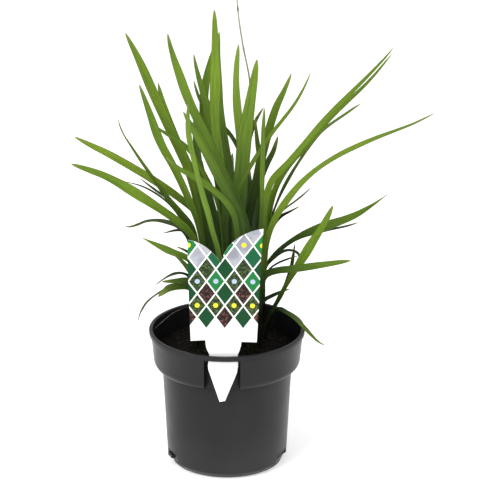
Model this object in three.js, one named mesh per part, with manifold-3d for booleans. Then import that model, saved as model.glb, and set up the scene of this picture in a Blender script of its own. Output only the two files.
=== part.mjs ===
// A flax lily growing in a black nursery pot, with a plant label threaded through the pot's tag slot.
// Millimetres, +Z up. The origin is the centre of the pot's base, and the label is at the front (-Y).
import * as THREE from "three";
import { mergeVertices } from "three/addons/utils/BufferGeometryUtils.js";
import Module from "manifold-3d";

const wasm = await Module();
wasm.setup();

// Pot
const POT_HEIGHT = 124.5;
const LIP_RADIUS = 70;
const LIP_INNER_RADIUS = 66.6;
const LIP_HEIGHT = 4.4;
const COLLAR_TOP_RADIUS = 68.2;
const COLLAR_FOOT_RADIUS = 66;
const COLLAR_DROP = 27.5; // from the lip's top to where the collar turns in
const COLLAR_TURN = 8; // height of the rounded step from the collar to the body
const BODY_TOP_RADIUS = 58.2;
const BODY_FOOT_RADIUS = 54;
const CHAMFER_HEIGHT = 5;
const FOOT_RADIUS = 50;
const FOOT_RING_WIDTH = 5;
const PAD_RADIUS = 16; // flat pad in the middle of the base
const BASE_RECESS = 2;
const WALL = 1.5;
const FLOOR = 1.6;
const POT_SIDES = 60;
const BREAK = 3; // length of the straight run just below the round under the collar

// Tag slot: a bay in the collar, open behind the lip, so that a label can pass outside
const SLOT_WIDTH = 32;
const SLOT_ACROSS = -4;
const BAY_RADIUS = BODY_TOP_RADIUS - 0.2;
const BAY_WALL = 1.2;
const BAY_DROP = 6; // from the foot of the lip to the top of the bay's wall

// Drain recesses: sloping places in the foot, two at each side, with a drain hole high up in each
const RECESS_ANGLES = [-22.5, 22.5, 157.5, 202.5];
const RECESS_HEIGHT = 11.5;
const RECESS_WIDTH = 37; // at the floor
const RECESS_TOP_WIDTH = 19;
const DRAIN_WIDTH = 9;
const DRAIN_FOOT = 7.4;
const DRAIN_TOP = 10.6;

// Potting mix
const MIX_DROP = 18; // from the lip's top to the mix
const SEAT = 0.3; // clearance between pieces that touch

// Plant label
const LABEL_THICKNESS = 0.6;
const LABEL_FOOT = [-2.4, -64.9, 79.5]; // tip of the spike
const LABEL_LEAN = THREE.MathUtils.degToRad(1.5);
const LABEL_TILT = THREE.MathUtils.degToRad(0.6);

// The leaves are set out as they look from a standpoint in front of the pot and above it.
// across and up are measured square to the line of sight at the pot's axis, up from below the pot's foot.
const EYE = new THREE.Vector3(11.7, -2041, 949);
const SIGHT_DOWN = THREE.MathUtils.degToRad(19.95);
const SIGHT_DISTANCE = 2206;
const SIGHT_FOOT = 193.5; // from the middle of the view down to up = 0
const MIX_UP = 98; // up of the mix at the pot's axis

const LIP_FOOT = POT_HEIGHT - LIP_HEIGHT;
const COLLAR_FOOT = POT_HEIGHT - COLLAR_DROP;
const BODY_TOP = COLLAR_FOOT - COLLAR_TURN;
const SLOT_TOP = LIP_FOOT - 0.6;
const BAY_TOP = LIP_FOOT - BAY_DROP;
const MIX_TOP = POT_HEIGHT - MIX_DROP;
// where the slope of a recess reaches the outside of the wall, as [radius, height]
const RECESS_REACH = [BODY_FOOT_RADIUS + 0.4, RECESS_HEIGHT + 0.3];
const SIMPLEST = 0.02; // details smaller than this are merged away

const COLOURS = {
  pot: 0x3a3b3d,
  mix: 0x1d1814,
  label: 0xf2f3f1,
  leaf: 0x6f8f2c,
  stem: 0x7d8460,
  dry: 0x7a6a52,
};

const potPlastic = new THREE.MeshStandardMaterial({ color: COLOURS.pot, roughness: 0.45, metalness: 0 });
const mixMaterial = new THREE.MeshStandardMaterial({ color: COLOURS.mix, roughness: 1, metalness: 0 });
const labelPlastic = new THREE.MeshStandardMaterial({ color: COLOURS.label, roughness: 0.4, metalness: 0 });
const leafMaterial = new THREE.MeshStandardMaterial({ color: COLOURS.leaf, roughness: 0.5, metalness: 0 });
const stemMaterial = new THREE.MeshStandardMaterial({ color: COLOURS.stem, roughness: 0.6, metalness: 0 });
const dryMaterial = new THREE.MeshStandardMaterial({ color: COLOURS.dry, roughness: 0.9, metalness: 0 });

const flaxLily = new THREE.Group();
flaxLily.name = "potted_flax_lily";

function addPiece(name, geometry, material) {
  const mesh = new THREE.Mesh(geometry, material);
  mesh.name = name;
  flaxLily.add(mesh);
  return mesh;
}

// A closed geometry as a solid that can be joined and cut.
function solidFrom(geometry) {
  const bare = geometry.clone();
  bare.deleteAttribute("normal");
  bare.deleteAttribute("uv");
  const merged = mergeVertices(bare, 1e-4);
  return new wasm.Manifold(
    new wasm.Mesh({
      numProp: 3,
      vertProperties: merged.attributes.position.array,
      triVerts: new Uint32Array(merged.index.array),
    }),
  );
}

function geometryFrom(solid) {
  const mesh = solid.getMesh();
  const geometry = new THREE.BufferGeometry();
  geometry.setAttribute("position", new THREE.BufferAttribute(new Float32Array(mesh.vertProperties), 3));
  geometry.setIndex(new THREE.BufferAttribute(new Uint32Array(mesh.triVerts), 1));
  return geometry;
}

// A turned body about +Z from [radius, height] points that run up the outside and down the inside.
function turned(points, sides) {
  const profile = points.map(([radius, height]) => new THREE.Vector2(radius, height));
  return new THREE.LatheGeometry(profile, sides).rotateX(Math.PI / 2);
}

// The round under the collar, from the top of the body out and up to the foot of the collar.
function underCollar(bodyRadius, collarRadius) {
  const steps = 5;
  return Array.from({ length: steps + 1 }, (_, i) => {
    const angle = (i / steps) * (Math.PI / 2);
    const radius = bodyRadius + (collarRadius - bodyRadius) * Math.sin(angle);
    return [radius, COLLAR_FOOT - COLLAR_TURN * Math.cos(angle)];
  });
}

// The pot's outline from the middle of its base up to its lip, as [radius, height].
function potOutside() {
  const ringInner = FOOT_RADIUS - FOOT_RING_WIDTH;
  return [
    [0, 0],
    [PAD_RADIUS, 0],
    [PAD_RADIUS + 2, BASE_RECESS],
    [ringInner - 2, BASE_RECESS],
    [ringInner, 0],
    [FOOT_RADIUS, 0],
    [BODY_FOOT_RADIUS, CHAMFER_HEIGHT],
    [BODY_TOP_RADIUS, BODY_TOP - BREAK],
    ...underCollar(BODY_TOP_RADIUS, COLLAR_FOOT_RADIUS),
    [COLLAR_TOP_RADIUS, LIP_FOOT],
    [LIP_RADIUS, LIP_FOOT + 0.6],
    [LIP_RADIUS, POT_HEIGHT - 1],
    [LIP_RADIUS - 1, POT_HEIGHT],
  ];
}

// The pot's outline from its lip down the inside to the middle of its floor.
function potInside() {
  return [
    [LIP_INNER_RADIUS + 0.6, POT_HEIGHT],
    [LIP_INNER_RADIUS, POT_HEIGHT - 1],
    ...underCollar(BODY_TOP_RADIUS - WALL, COLLAR_FOOT_RADIUS - WALL).reverse(),
    [BODY_TOP_RADIUS - WALL, BODY_TOP - BREAK],
    [BODY_FOOT_RADIUS - WALL, CHAMFER_HEIGHT + 1],
    [FOOT_RADIUS - WALL, BASE_RECESS + FLOOR],
    [0, BASE_RECESS + FLOOR],
  ];
}

function makePot() {
  let pot = solidFrom(turned([...potOutside(), ...potInside()], POT_SIDES));
  pot = pot.subtract(tagSlot()).add(tagBay());
  for (const degrees of RECESS_ANGLES) {
    const angle = THREE.MathUtils.degToRad(degrees);
    pot = pot.subtract(recessSpace(angle)).add(recessPlate(angle)).subtract(drainHole(angle));
  }
  return geometryFrom(pot.simplify(SIMPLEST));
}

// A block across the front of the pot at the tag slot, from the axis outwards.
function slotBlock(width) {
  const box = new THREE.BoxGeometry(width, LIP_RADIUS + 4, POT_HEIGHT);
  return solidFrom(box.translate(SLOT_ACROSS, -LIP_RADIUS / 2 - 2, POT_HEIGHT / 2));
}

function tube(inner, outer, bottom, top) {
  return solidFrom(turned([[inner, bottom], [outer, bottom], [outer, top], [inner, top], [inner, bottom]], POT_SIDES));
}

// What the slot takes out of the collar, below the lip.
function tagSlot() {
  return tube(BODY_TOP_RADIUS - WALL - 2, LIP_RADIUS + 3, BODY_TOP - 1, SLOT_TOP).intersect(slotBlock(SLOT_WIDTH));
}

// The bay behind the slot: the body's wall carried up almost to the lip, with two cheeks out to the collar.
function tagBay() {
  const back = tube(BAY_RADIUS - BAY_WALL, BAY_RADIUS, BODY_TOP - BREAK, BAY_TOP).intersect(slotBlock(SLOT_WIDTH + 2 * WALL));
  const inset = potOutside().map(([radius, height]) => [Math.max(0, radius - 0.5), height]);
  const within = solidFrom(turned([...inset, [0, POT_HEIGHT]], POT_SIDES));
  const reach = tube(BAY_RADIUS - BAY_WALL / 2, LIP_RADIUS, BODY_TOP - 1.4, BAY_TOP - 0.4).intersect(within);
  const cheek = (side) => {
    const at = SLOT_ACROSS + side * (SLOT_WIDTH / 2 + WALL / 2 - 0.3);
    const box = new THREE.BoxGeometry(WALL, LIP_RADIUS, POT_HEIGHT);
    return solidFrom(box.translate(at, -LIP_RADIUS / 2 - 2, POT_HEIGHT / 2)).intersect(reach);
  };
  return back.add(cheek(-1)).add(cheek(1));
}

// A wedge through the wall at the foot, wide below and narrow above, at this angle round the pot.
function recessBlock(angle, margin) {
  const low = RECESS_WIDTH / 2 + margin;
  const high = RECESS_TOP_WIDTH / 2 + margin;
  const front = new THREE.Shape();
  front.moveTo(-low, -1).lineTo(low, -1).lineTo(high, RECESS_HEIGHT + margin).lineTo(-high, RECESS_HEIGHT + margin);
  front.closePath();
  const block = new THREE.ExtrudeGeometry(front, { depth: LIP_RADIUS, bevelEnabled: false });
  return solidFrom(block.rotateX(Math.PI / 2).rotateZ(Math.PI / 2).rotateZ(angle));
}

// What a recess takes away: all that lies outside a cone from the foot up to the wall.
function recessSpace(angle) {
  const beyond = BODY_TOP_RADIUS + 4;
  const outline = [[FOOT_RADIUS, -1], [beyond, -1], [beyond, RECESS_REACH[1]], RECESS_REACH, [FOOT_RADIUS, 0], [FOOT_RADIUS, -1]];
  return solidFrom(turned(outline, POT_SIDES)).intersect(recessBlock(angle, 0));
}

// The sloping plate that closes a recess from inside.
function recessPlate(angle) {
  const [radius, height] = RECESS_REACH;
  const inner = FOOT_RADIUS - WALL - 0.3;
  const outline = [
    [inner, 0],
    [FOOT_RADIUS, 0],
    [radius, height],
    [radius - 0.3, height + WALL],
    [radius - WALL, height + WALL],
    [inner, BASE_RECESS + 1],
    [inner, 0],
  ];
  return solidFrom(turned(outline, POT_SIDES)).intersect(recessBlock(angle, WALL));
}

function drainHole(angle) {
  const reach = BODY_FOOT_RADIUS + 2 - FOOT_RADIUS + 3;
  const box = new THREE.BoxGeometry(reach, DRAIN_WIDTH, DRAIN_TOP - DRAIN_FOOT);
  box.translate(FOOT_RADIUS - 3 + reach / 2, 0, (DRAIN_TOP + DRAIN_FOOT) / 2).rotateZ(angle);
  return solidFrom(box);
}

function makeMix() {
  const gap = WALL + SEAT;
  const floor = BASE_RECESS + FLOOR + SEAT;
  const outline = [
    [0, floor],
    [FOOT_RADIUS - gap - 1.7, floor],
    [FOOT_RADIUS - 0.4, 8],
    [BODY_FOOT_RADIUS - gap, RECESS_HEIGHT + 2.5],
    [BODY_TOP_RADIUS - gap, BODY_TOP - 1],
    [BODY_TOP_RADIUS - gap + 0.5, BODY_TOP + 1],
    [COLLAR_FOOT_RADIUS - gap - 0.3, COLLAR_FOOT + 1],
    [COLLAR_FOOT_RADIUS - gap + 0.6, MIX_TOP],
    [0, MIX_TOP],
  ];
  const mix = solidFrom(turned(outline, POT_SIDES));
  const bayClear = BAY_RADIUS - BAY_WALL - SEAT;
  const bay = tube(bayClear, LIP_RADIUS, BODY_TOP - 4, POT_HEIGHT).intersect(slotBlock(SLOT_WIDTH + 2 * gap));
  return geometryFrom(mix.subtract(bay).simplify(SIMPLEST));
}

// The card: a spike, a neck and a wide panel whose top is cut to two lobes with a notch between them.
function makeLabel() {
  const card = new THREE.Shape();
  card.moveTo(1, 1.8);
  card.bezierCurveTo(3.4, 9, 9, 22, 11.2, 29);
  card.lineTo(12, 34.6);
  card.lineTo(12, 39.3);
  card.lineTo(11.6, 45.4);
  card.lineTo(13.1, 49.1);
  card.lineTo(14.2, 53.3);
  card.lineTo(14.8, 57.5);
  card.lineTo(28.1, 57.2);
  card.lineTo(29.7, 95.9);
  card.lineTo(30.4, 128.2);
  card.lineTo(32.6, 161.4);
  card.bezierCurveTo(20, 159, -1, 149.5, -3.5, 129.1);
  card.bezierCurveTo(-7.5, 135.5, -18, 148.5, -32.2, 150.8);
  card.lineTo(-32.5, 137.4);
  card.lineTo(-31.2, 95.9);
  card.lineTo(-29.5, 58);
  card.lineTo(-16.8, 58.8);
  card.lineTo(-16.2, 53.3);
  card.lineTo(-15.2, 49.6);
  card.lineTo(-13.1, 45.4);
  card.lineTo(-13.9, 39.3);
  card.lineTo(-14.3, 34.6);
  card.lineTo(-13.9, 30.9);
  card.bezierCurveTo(-11.5, 24, -6.5, 9, -3.9, 0.9);
  card.closePath();
  const plate = new THREE.ExtrudeGeometry(card, { depth: LABEL_THICKNESS, bevelEnabled: false, curveSegments: 10 });
  plate.translate(0, 0, -LABEL_THICKNESS / 2).rotateX(Math.PI / 2);
  plate.rotateX(-LABEL_LEAN).rotateY(LABEL_TILT);
  return plate.translate(...LABEL_FOOT);
}

// The point of the vertical plane at this y that is seen at [across, up] from the standpoint.
function seen([across, up], y) {
  const ray = new THREE.Vector3(across - EYE.x, 0, 0);
  ray.addScaledVector(new THREE.Vector3(0, Math.cos(SIGHT_DOWN), -Math.sin(SIGHT_DOWN)), SIGHT_DISTANCE);
  ray.addScaledVector(new THREE.Vector3(0, Math.sin(SIGHT_DOWN), Math.cos(SIGHT_DOWN)), up - SIGHT_FOOT);
  return EYE.clone().addScaledVector(ray, (y - EYE.y) / ray.y);
}

const smooth = (from, to, value) => THREE.MathUtils.smoothstep(value, from, to);

// The centre line of a leaf or stem: out of the mix at root, then through what is seen of it.
// Its depth goes from the root's y to tipY, most of it in the upper half.
function centreLine(root, tipY, view) {
  const foot = new THREE.Vector3(root[0], root[1], MIX_TOP + SEAT);
  const lengths = view.map((point, i) => {
    const before = i ? view[i - 1] : [root[0], MIX_UP];
    return Math.hypot(point[0] - before[0], point[1] - before[1]);
  });
  const total = lengths.reduce((sum, length) => sum + length, 0);
  let reached = 0;
  const points = view.map((point, i) => {
    reached += lengths[i];
    return seen(point, root[1] + (tipY - root[1]) * Math.pow(reached / total, 1.4));
  });
  const first = points[0];
  const guide = foot.clone();
  guide.x += 0.16 * (first.x - foot.x);
  guide.y += 0.16 * (first.y - foot.y);
  guide.z += 0.3 * (first.z - foot.z);
  return new THREE.CatmullRomCurve3([foot, guide, ...points], false, "centripetal");
}

const LEAF_RINGS = 15;
const MIDRIB_THICKNESS = 0.9;
const TIP_LENGTH = 6; // length that tapers to the tip, in leaf widths
const TIP_POWER = 0.45; // the lower, the blunter the tip
const FOOT_SHARE = 0.36; // a leaf's width at its foot against its full width
const OPENING = [0.15, 0.78]; // the shares of its length between which a leaf widens
const FOOT_FOLD = 0.34; // depth of the fold at the foot, in widths
const BLADE_FOLD = 0.14; // and from the middle of the blade on

// One strap leaf: a folded blade, keeled below, with thin edges, narrow at its foot and pointed at its tip.
// turn is how far the blade is turned about its centre line from lying square to the line of sight.
// own holds what sets a leaf apart: its opening, the length in mm that tapers to its tip, and the power.
function strapLeaf(root, tipY, width, turn, view, own = {}) {
  const { opening = OPENING, tip: tipLength = TIP_LENGTH * width, power = TIP_POWER } = own;
  const line = centreLine(root, tipY, view);
  const length = line.getLength();
  const rings = Array.from({ length: LEAF_RINGS }, (_, i) => {
    const along = 1 - Math.pow(1 - i / LEAF_RINGS, 1.3);
    const toTip = (1 - along) * length;
    const taper = Math.min(1, Math.pow(toTip / tipLength, power));
    const wide = width * taper * (FOOT_SHARE + (1 - FOOT_SHARE) * smooth(...opening, along));
    const fold = wide * (FOOT_FOLD + (BLADE_FOLD - FOOT_FOLD) * smooth(0, 0.5, along));
    return { along, wide, fold, thick: MIDRIB_THICKNESS * Math.min(1, 0.35 + taper) };
  });
  const turned = THREE.MathUtils.degToRad(turn);
  const frameAt = (along) => {
    const at = line.getPointAt(along);
    const tangent = line.getTangentAt(along);
    const sight = EYE.clone().sub(at).normalize();
    const side = tangent.clone().cross(sight).normalize();
    side.applyAxisAngle(tangent, turned * smooth(0, 0.4, along));
    const face = side.clone().cross(tangent).normalize();
    return { at, side, face };
  };
  const middle = frameAt(0.6);
  const inward = new THREE.Vector3(-middle.at.x, -middle.at.y, 60);
  const upper = middle.face.dot(inward) >= 0 ? 1 : -1;
  const vertices = [];
  rings.forEach(({ along, wide, fold, thick }, i) => {
    const { at, side, face } = frameAt(along);
    const corners = [
      at.clone().addScaledVector(side, -wide / 2),
      at.clone().addScaledVector(face, -upper * (fold + thick)),
      at.clone().addScaledVector(side, wide / 2),
      at.clone().addScaledVector(face, -upper * fold),
    ];
    for (const corner of corners) {
      if (i === 0) corner.z = MIX_TOP + SEAT;
      vertices.push(corner.x, corner.y, corner.z);
    }
  });
  const tip = line.getPointAt(1);
  vertices.push(tip.x, tip.y, tip.z);
  return closedSkin(vertices, rings.length, 4, upper > 0);
}

// Joins rings of points, with a flat foot and one point at the tip, into a closed surface. The upper half
// of each ring is split along the same diagonals as the lower, so that both stay apart where a blade twists.
function closedSkin(vertices, rings, corners, reverse) {
  const faces = [];
  for (let ring = 0; ring < rings - 1; ring++) {
    for (let corner = 0; corner < corners; corner++) {
      const next = (corner + 1) % corners;
      const a = ring * corners + corner;
      const b = ring * corners + next;
      if (corner < corners / 2) {
        faces.push([a, b, b + corners], [a, b + corners, a + corners]);
      } else {
        faces.push([a, b, a + corners], [b, b + corners, a + corners]);
      }
    }
  }
  const last = (rings - 1) * corners;
  const tip = rings * corners;
  for (let corner = 0; corner < corners; corner++) {
    faces.push([last + corner, last + ((corner + 1) % corners), tip]);
  }
  for (let corner = 1; corner < corners - 1; corner++) {
    faces.push([0, corner + 1, corner]);
  }
  const geometry = new THREE.BufferGeometry();
  geometry.setAttribute("position", new THREE.Float32BufferAttribute(vertices, 3));
  geometry.setIndex(faces.flatMap(([a, b, c]) => (reverse ? [a, c, b] : [a, b, c])));
  return geometry;
}

// Every shoot is a fan of leaves. A leaf is given as root [x, y] on the mix, the y of its tip, its width,
// its turn and the [across, up] points that it is seen to pass through, from the foot to the tip. What
// sets it apart from most comes last: where it widens, and how it tapers.
const SHOOTS = {
  left_shoot: [
    [[-13, 0], -12, 11, 36, [[-27, 226], [-36, 261], [-48.5, 288], [-63, 319.5], [-79, 355.5], [-91.5, 380]]],
    [[-10, 6], 22, 9.5, 32, [[-19, 207], [-25.5, 234], [-33, 256.5], [-41.5, 274.5], [-57, 315], [-62, 335]]],
    [[-18, -6], -40, 8, 28, [[-25, 204], [-33, 227], [-42, 247.5], [-51, 265.5], [-60, 282], [-71, 312], [-79, 333.5]]],
    [[1, -11], -14, 4.5, 24, [[-8, 225], [-15.5, 243], [-24.5, 260], [-35, 275.5], [-46, 284], [-58, 291], [-67, 298]]],
    [[-18, 9], 45, 9.2, 38, [[-19.8, 206], [-29, 219.5], [-42, 231], [-69, 249.5], [-105, 270.5], [-123.5, 279.5], [-137.5, 286.5]]],
    [[-23, -10], -55, 10, 34, [[-27, 191], [-35, 202.5], [-47, 212.5], [-74, 231], [-110, 251.5], [-128, 258], [-140.5, 262]]],
    [[-22, -2], 5, 10, 30, [[-31, 202], [-39.5, 215], [-50.4, 227.7], [-74, 260], [-87.5, 280], [-95.5, 293.5], [-98.5, 305]], { opening: [0, 0.3], tip: 175, power: 0.9 }],
    [[-25, 14], 60, 3, 50, [[-32, 201], [-39, 216], [-47, 226], [-60, 235.5], [-69, 242], [-79, 249.5]], { opening: [0, 0.3] }],
    [[-27, 10], 52, 4, 50, [[-32, 188], [-37, 204], [-45, 218], [-55, 229], [-74, 241], [-93, 246.5]], { opening: [0, 0.3], tip: 90 }],
    [[-26, -1], 22, 7, 60, [[-33, 190], [-41, 204], [-52, 209.5], [-69.5, 211.5], [-85.5, 206], [-92, 205.5]], { opening: [0.1, 0.6] }],
    [[-23, 22], 55, 3.5, 50, [[-35, 199], [-43, 202.5], [-58.5, 199.5]]],
  ],
  low_left_shoot: [
    [[-16, -16], -55, 6.6, 28, [[-27, 166.5], [-36, 177], [-49.5, 182.5], [-60.5, 187.5], [-76.5, 195.5]], { tip: 27, power: 0.8 }],
    [[-14, -22], -50, 6, 24, [[-29, 157.5], [-36, 169], [-42.5, 176], [-48.5, 181]]],
    [[-22, -18], -35, 5, 45, [[-28, 175.5], [-36, 183], [-45.5, 187.5]]],
    [[-31, -12], -20, 5, 60, [[-32, 152], [-36.5, 163], [-46, 163.8], [-55, 160], [-64.5, 153]]],
    [[-27, 28], 45, 9, 30, [[-26, 150], [-35, 157], [-51.5, 156.5], [-58.5, 156]]],
    [[-29, -3], -15, 6.8, 26, [[-27, 145], [-35, 151.5], [-44, 152], [-52, 150.5], [-57.5, 146.5], [-62, 142.5]], { tip: 12 }],
    [[-32, 7], 12, 3.4, 62, [[-28, 151], [-36, 155], [-45, 154], [-55, 150], [-69.5, 140.5], [-75, 134], [-79, 126], [-80.5, 119]]],
  ],
  centre_left_shoot: [
    [[-4, -20], -75, 5.8, 36, [[-8, 182.5], [-13.5, 202.5], [-18, 220.5], [-23.5, 238.5], [-28, 256.5], [-32, 274.5], [-35.2, 292.5], [-35.2, 316.5]], { opening: [0, 0.2] }],
    [[-1, 3], 35, 10.5, -32, [[-3.5, 247.5], [-8, 274.5], [-11, 301.5], [-11, 330], [-11, 358], [-11, 379], [-11.5, 401]]],
    [[-5, 13], 55, 10.5, 28, [[-7, 243], [-13.5, 270], [-19, 297], [-20.5, 319.5], [-18.5, 337.5], [-12.5, 366]]],
    [[-9, -7], -15, 4.8, -24, [[-3.5, 189], [-1, 208], [2.5, 222], [8.5, 235], [13.5, 246], [21, 260], [40.5, 290], [58, 312], [70, 332], [75.5, 345]], { tip: 110 }],
    [[2, 15], 45, 8, 38, [[2.5, 238.5], [-4.5, 270], [-12.5, 297], [-21.5, 327], [-27, 346.5], [-30, 361]]],
  ],
  centre_shoot: [
    [[9, 4], 25, 8.5, -34, [[10, 202.5], [11, 229.5], [12, 256.5], [11.5, 279], [9.5, 306], [8, 330], [8.5, 351], [10.5, 370]]],
    [[7, -4], -2, 13.5, -16, [[11, 234], [13.5, 261], [16, 288], [20.5, 316], [24.5, 339.5], [27, 356]], { opening: [0.05, 0.55] }],
    [[9, 19], 65, 10, -26, [[2.5, 252], [-2.5, 279], [-7, 306], [-8.5, 333], [-9, 360], [-7, 381]]],
    [[3, 24], 70, 4.5, -22, [[14.5, 238.5], [17, 265.5], [20, 283.5], [23.5, 296], [28, 305], [33, 313]]],
  ],
  centre_right_shoot: [
    [[24, -14], -30, 10.2, 36, [[20, 202.5], [11.5, 224], [-4.5, 258.5], [-20.5, 290.5], [-34, 319.5], [-44, 346.5], [-50, 364.5], [-53.5, 379.5]]],
    [[18, -19], -38, 9, 24, [[11.5, 213], [-1.5, 238.5], [-15.8, 266], [-29.5, 291], [-39.5, 309]]],
    [[10, -25], -43, 6.5, 28, [[8, 207], [3.5, 221.5], [-5.5, 232], [-17, 242], [-29.5, 250], [-41.5, 256.5], [-55, 268]]],
    [[18, 19], 70, 4, 24, [[20.5, 238.5], [15.5, 263.5], [7, 282], [-2, 295], [-12.5, 303.5], [-20.5, 312.5], [-27, 327], [-30, 337.5]]],
    [[14, 14], 45, 10, -38, [[18, 207], [21.5, 229.5], [28, 256.5], [34, 280], [43, 310.5], [51.5, 328.5], [58, 343.5]]],
    [[16, 1], 20, 9, -30, [[18, 204], [21.5, 224], [27, 242], [34, 259], [41.5, 273.5], [45.8, 287]], { opening: [0, 0.45] }],
    [[20, 23], 60, 5.5, -30, [[30.5, 247.5], [29.5, 265.5], [27.5, 279], [26, 292.5], [25.5, 304]]],
  ],
  right_shoot: [
    [[27, 12], -40, 8.1, -26, [[33.5, 211.5], [34.3, 229.5], [39, 245], [59.5, 268], [88, 302.5], [126, 340.5], [143, 358.5], [150, 367]], { opening: [0, 0.15], tip: 300 }],
    [[28, 18], -30, 7.5, -22, [[37, 213.5], [40, 231], [52, 256], [68.5, 275.5], [94.5, 305], [127.5, 336.5], [148.5, 361]], { opening: [0, 0.15], tip: 290 }],
    [[29, 24], 5, 6, -60, [[37, 207], [42.5, 221.5], [49.5, 238.5], [66.5, 267.5], [82, 289], [106, 307], [120.5, 316.5]]],
    [[28, 5], -60, 8.2, -47, [[36, 195.5], [41.5, 210.5], [48.5, 222.5], [68.5, 247], [92, 265.5], [124, 281.5], [169, 299], [187.5, 308]], { opening: [0, 0.3], tip: 170, power: 0.5 }],
    [[31, 9], -10, 1.7, -25, [[38, 198], [42.5, 210.5], [49.5, 219.5], [62, 229], [70.5, 236], [76, 241]]],
    [[32, 18], 10, 5, -48, [[34, 180], [41.5, 207], [48.5, 215], [57, 219.5], [65.5, 224]], { opening: [0, 0.3] }],
    [[23, -2], -20, 5.2, 38, [[31, 220.5], [31.5, 247.5], [32, 274.5], [32.5, 292.5], [33.5, 312.5]]],
  ],
  low_right_shoot: [
    [[29, 0], -65, 10, -34, [[34.5, 118], [43, 134.5], [55.5, 157.5], [63, 170], [79.5, 196], [88, 210], [95.5, 224.5]], { opening: [0.28, 0.72] }],
    [[24, 30], 38, 10, -30, [[28.5, 148.5], [33, 165.5], [40.5, 178.5], [61, 195], [89.5, 206.5], [114, 215.5], [130, 224.5], [138, 230], [146, 235.5]], { opening: [0.42, 0.7], tip: 58, power: 1 }],
    [[27, 35], 55, 4, -55, [[31, 160], [40, 176], [58, 191.5], [72, 198], [90, 202.5], [110.5, 207], [118.5, 209.5]]],
    [[26, -8], -85, 6.6, -22, [[29.5, 150], [33, 160.5], [41, 165.2], [66, 168.5], [97, 173], [111.5, 175]], { opening: [0.1, 0.5] }],
    [[33, 27], 42, 5, -36, [[43, 134.5], [50.5, 148.5], [56, 162], [58.5, 173.5], [61, 190]], { opening: [0, 0.4] }],
    [[21, 35], 60, 5, -55, [[30, 159.5], [37, 173], [51.5, 184], [62.5, 183], [69, 171]], { opening: [0, 0.5] }],
    [[22, 26], 27, 3.2, -55, [[36, 164.5], [44, 172], [57.5, 177.5], [65, 179.5]]],
    [[19, -7], -7, 4.5, -24, [[29, 132], [33.5, 139.5], [39.5, 143], [47.5, 146.5], [56.5, 149.5]]],
    [[35, 20], -19, 5, -45, [[40, 124], [45.5, 132], [51.3, 130], [56.7, 126.9], [62.1, 122.5], [67.5, 117.3], [72.9, 111.6], [78.3, 105.8], [82.8, 101.7], [88.2, 98.6]], { opening: [0, 0.4] }],
  ],
  back_shoot: [
    [[-13, 24], 85, 9, 10, [[-15.5, 202], [-20, 217], [-24, 240], [-26, 262], [-28, 285], [-29.5, 305]], { opening: [0, 0.2] }],
    [[-1, 29], 95, 9, 10, [[1.5, 200], [3.2, 235], [4, 258], [5, 272]], { opening: [0, 0.4] }],
    [[12, 32], 115, 10, -10, [[14.5, 190], [18.5, 215], [20, 235], [20, 258]], { opening: [0, 0.4] }],
    [[-12, 37], 80, 10, 10, [[-8, 189], [-10, 204.5], [-13.2, 218.5], [-16.4, 232], [-19.2, 243], [-21.8, 254.5], [-23.4, 267]], { opening: [0, 0.2] }],
    [[20, 29], 85, 11, -10, [[24, 200], [27.5, 218], [29, 236], [29.8, 255]], { opening: [0, 0.4] }],
  ],
};

// A dead leaf that has dropped from the left shoot onto the inside of the pot's rim.
const DRY_LEAF = [[-33, 23], 3, 1.5, 30, [[-31, 127], [-35, 133.5], [-39, 132.5], [-49, 128], [-54, 124], [-61, 118], [-66, 113]]];

const STEM_RADIUS = 0.9;

function makeStem() {
  const seenFrom = [[16, 250], [20, 290], [21, 320], [20, 340], [14.5, 368], [10, 398.5], [9, 425], [12, 445]];
  const line = centreLine([13, 27], 55, seenFrom);
  const round = new THREE.Shape().absarc(0, 0, STEM_RADIUS, 0, 2 * Math.PI);
  return new THREE.ExtrudeGeometry(round, { steps: 30, curveSegments: 3, bevelEnabled: false, extrudePath: line });
}

addPiece("pot", makePot(), potPlastic);
addPiece("potting_mix", makeMix(), mixMaterial);
addPiece("plant_label", makeLabel(), labelPlastic);
addPiece("flower_stem", makeStem(), stemMaterial);
addPiece("dry_leaf", strapLeaf(...DRY_LEAF), dryMaterial);
for (const [shoot, leaves] of Object.entries(SHOOTS)) {
  leaves.forEach((leaf, i) => addPiece(`${shoot}_leaf_${i + 1}`, strapLeaf(...leaf), leafMaterial));
}

export default flaxLily;
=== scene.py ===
# %% [markdown]
# # A potted flax lily
# A flax lily is a tuft of strap leaves that rise in fans from the potting mix. This one grows in a
# charcoal nursery pot with a plant label in the pot's tag slot. The CAD model fixes where every leaf
# runs. Here each of its plain solids is replaced by a finer mesh in the same place, and each surface
# gets a material made from nodes only.

# %% Load the frame
import itertools
import math
import random

import bpy
import numpy as np
from mathutils import Matrix, Vector, noise
from mathutils.geometry import delaunay_2d_cdt


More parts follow.
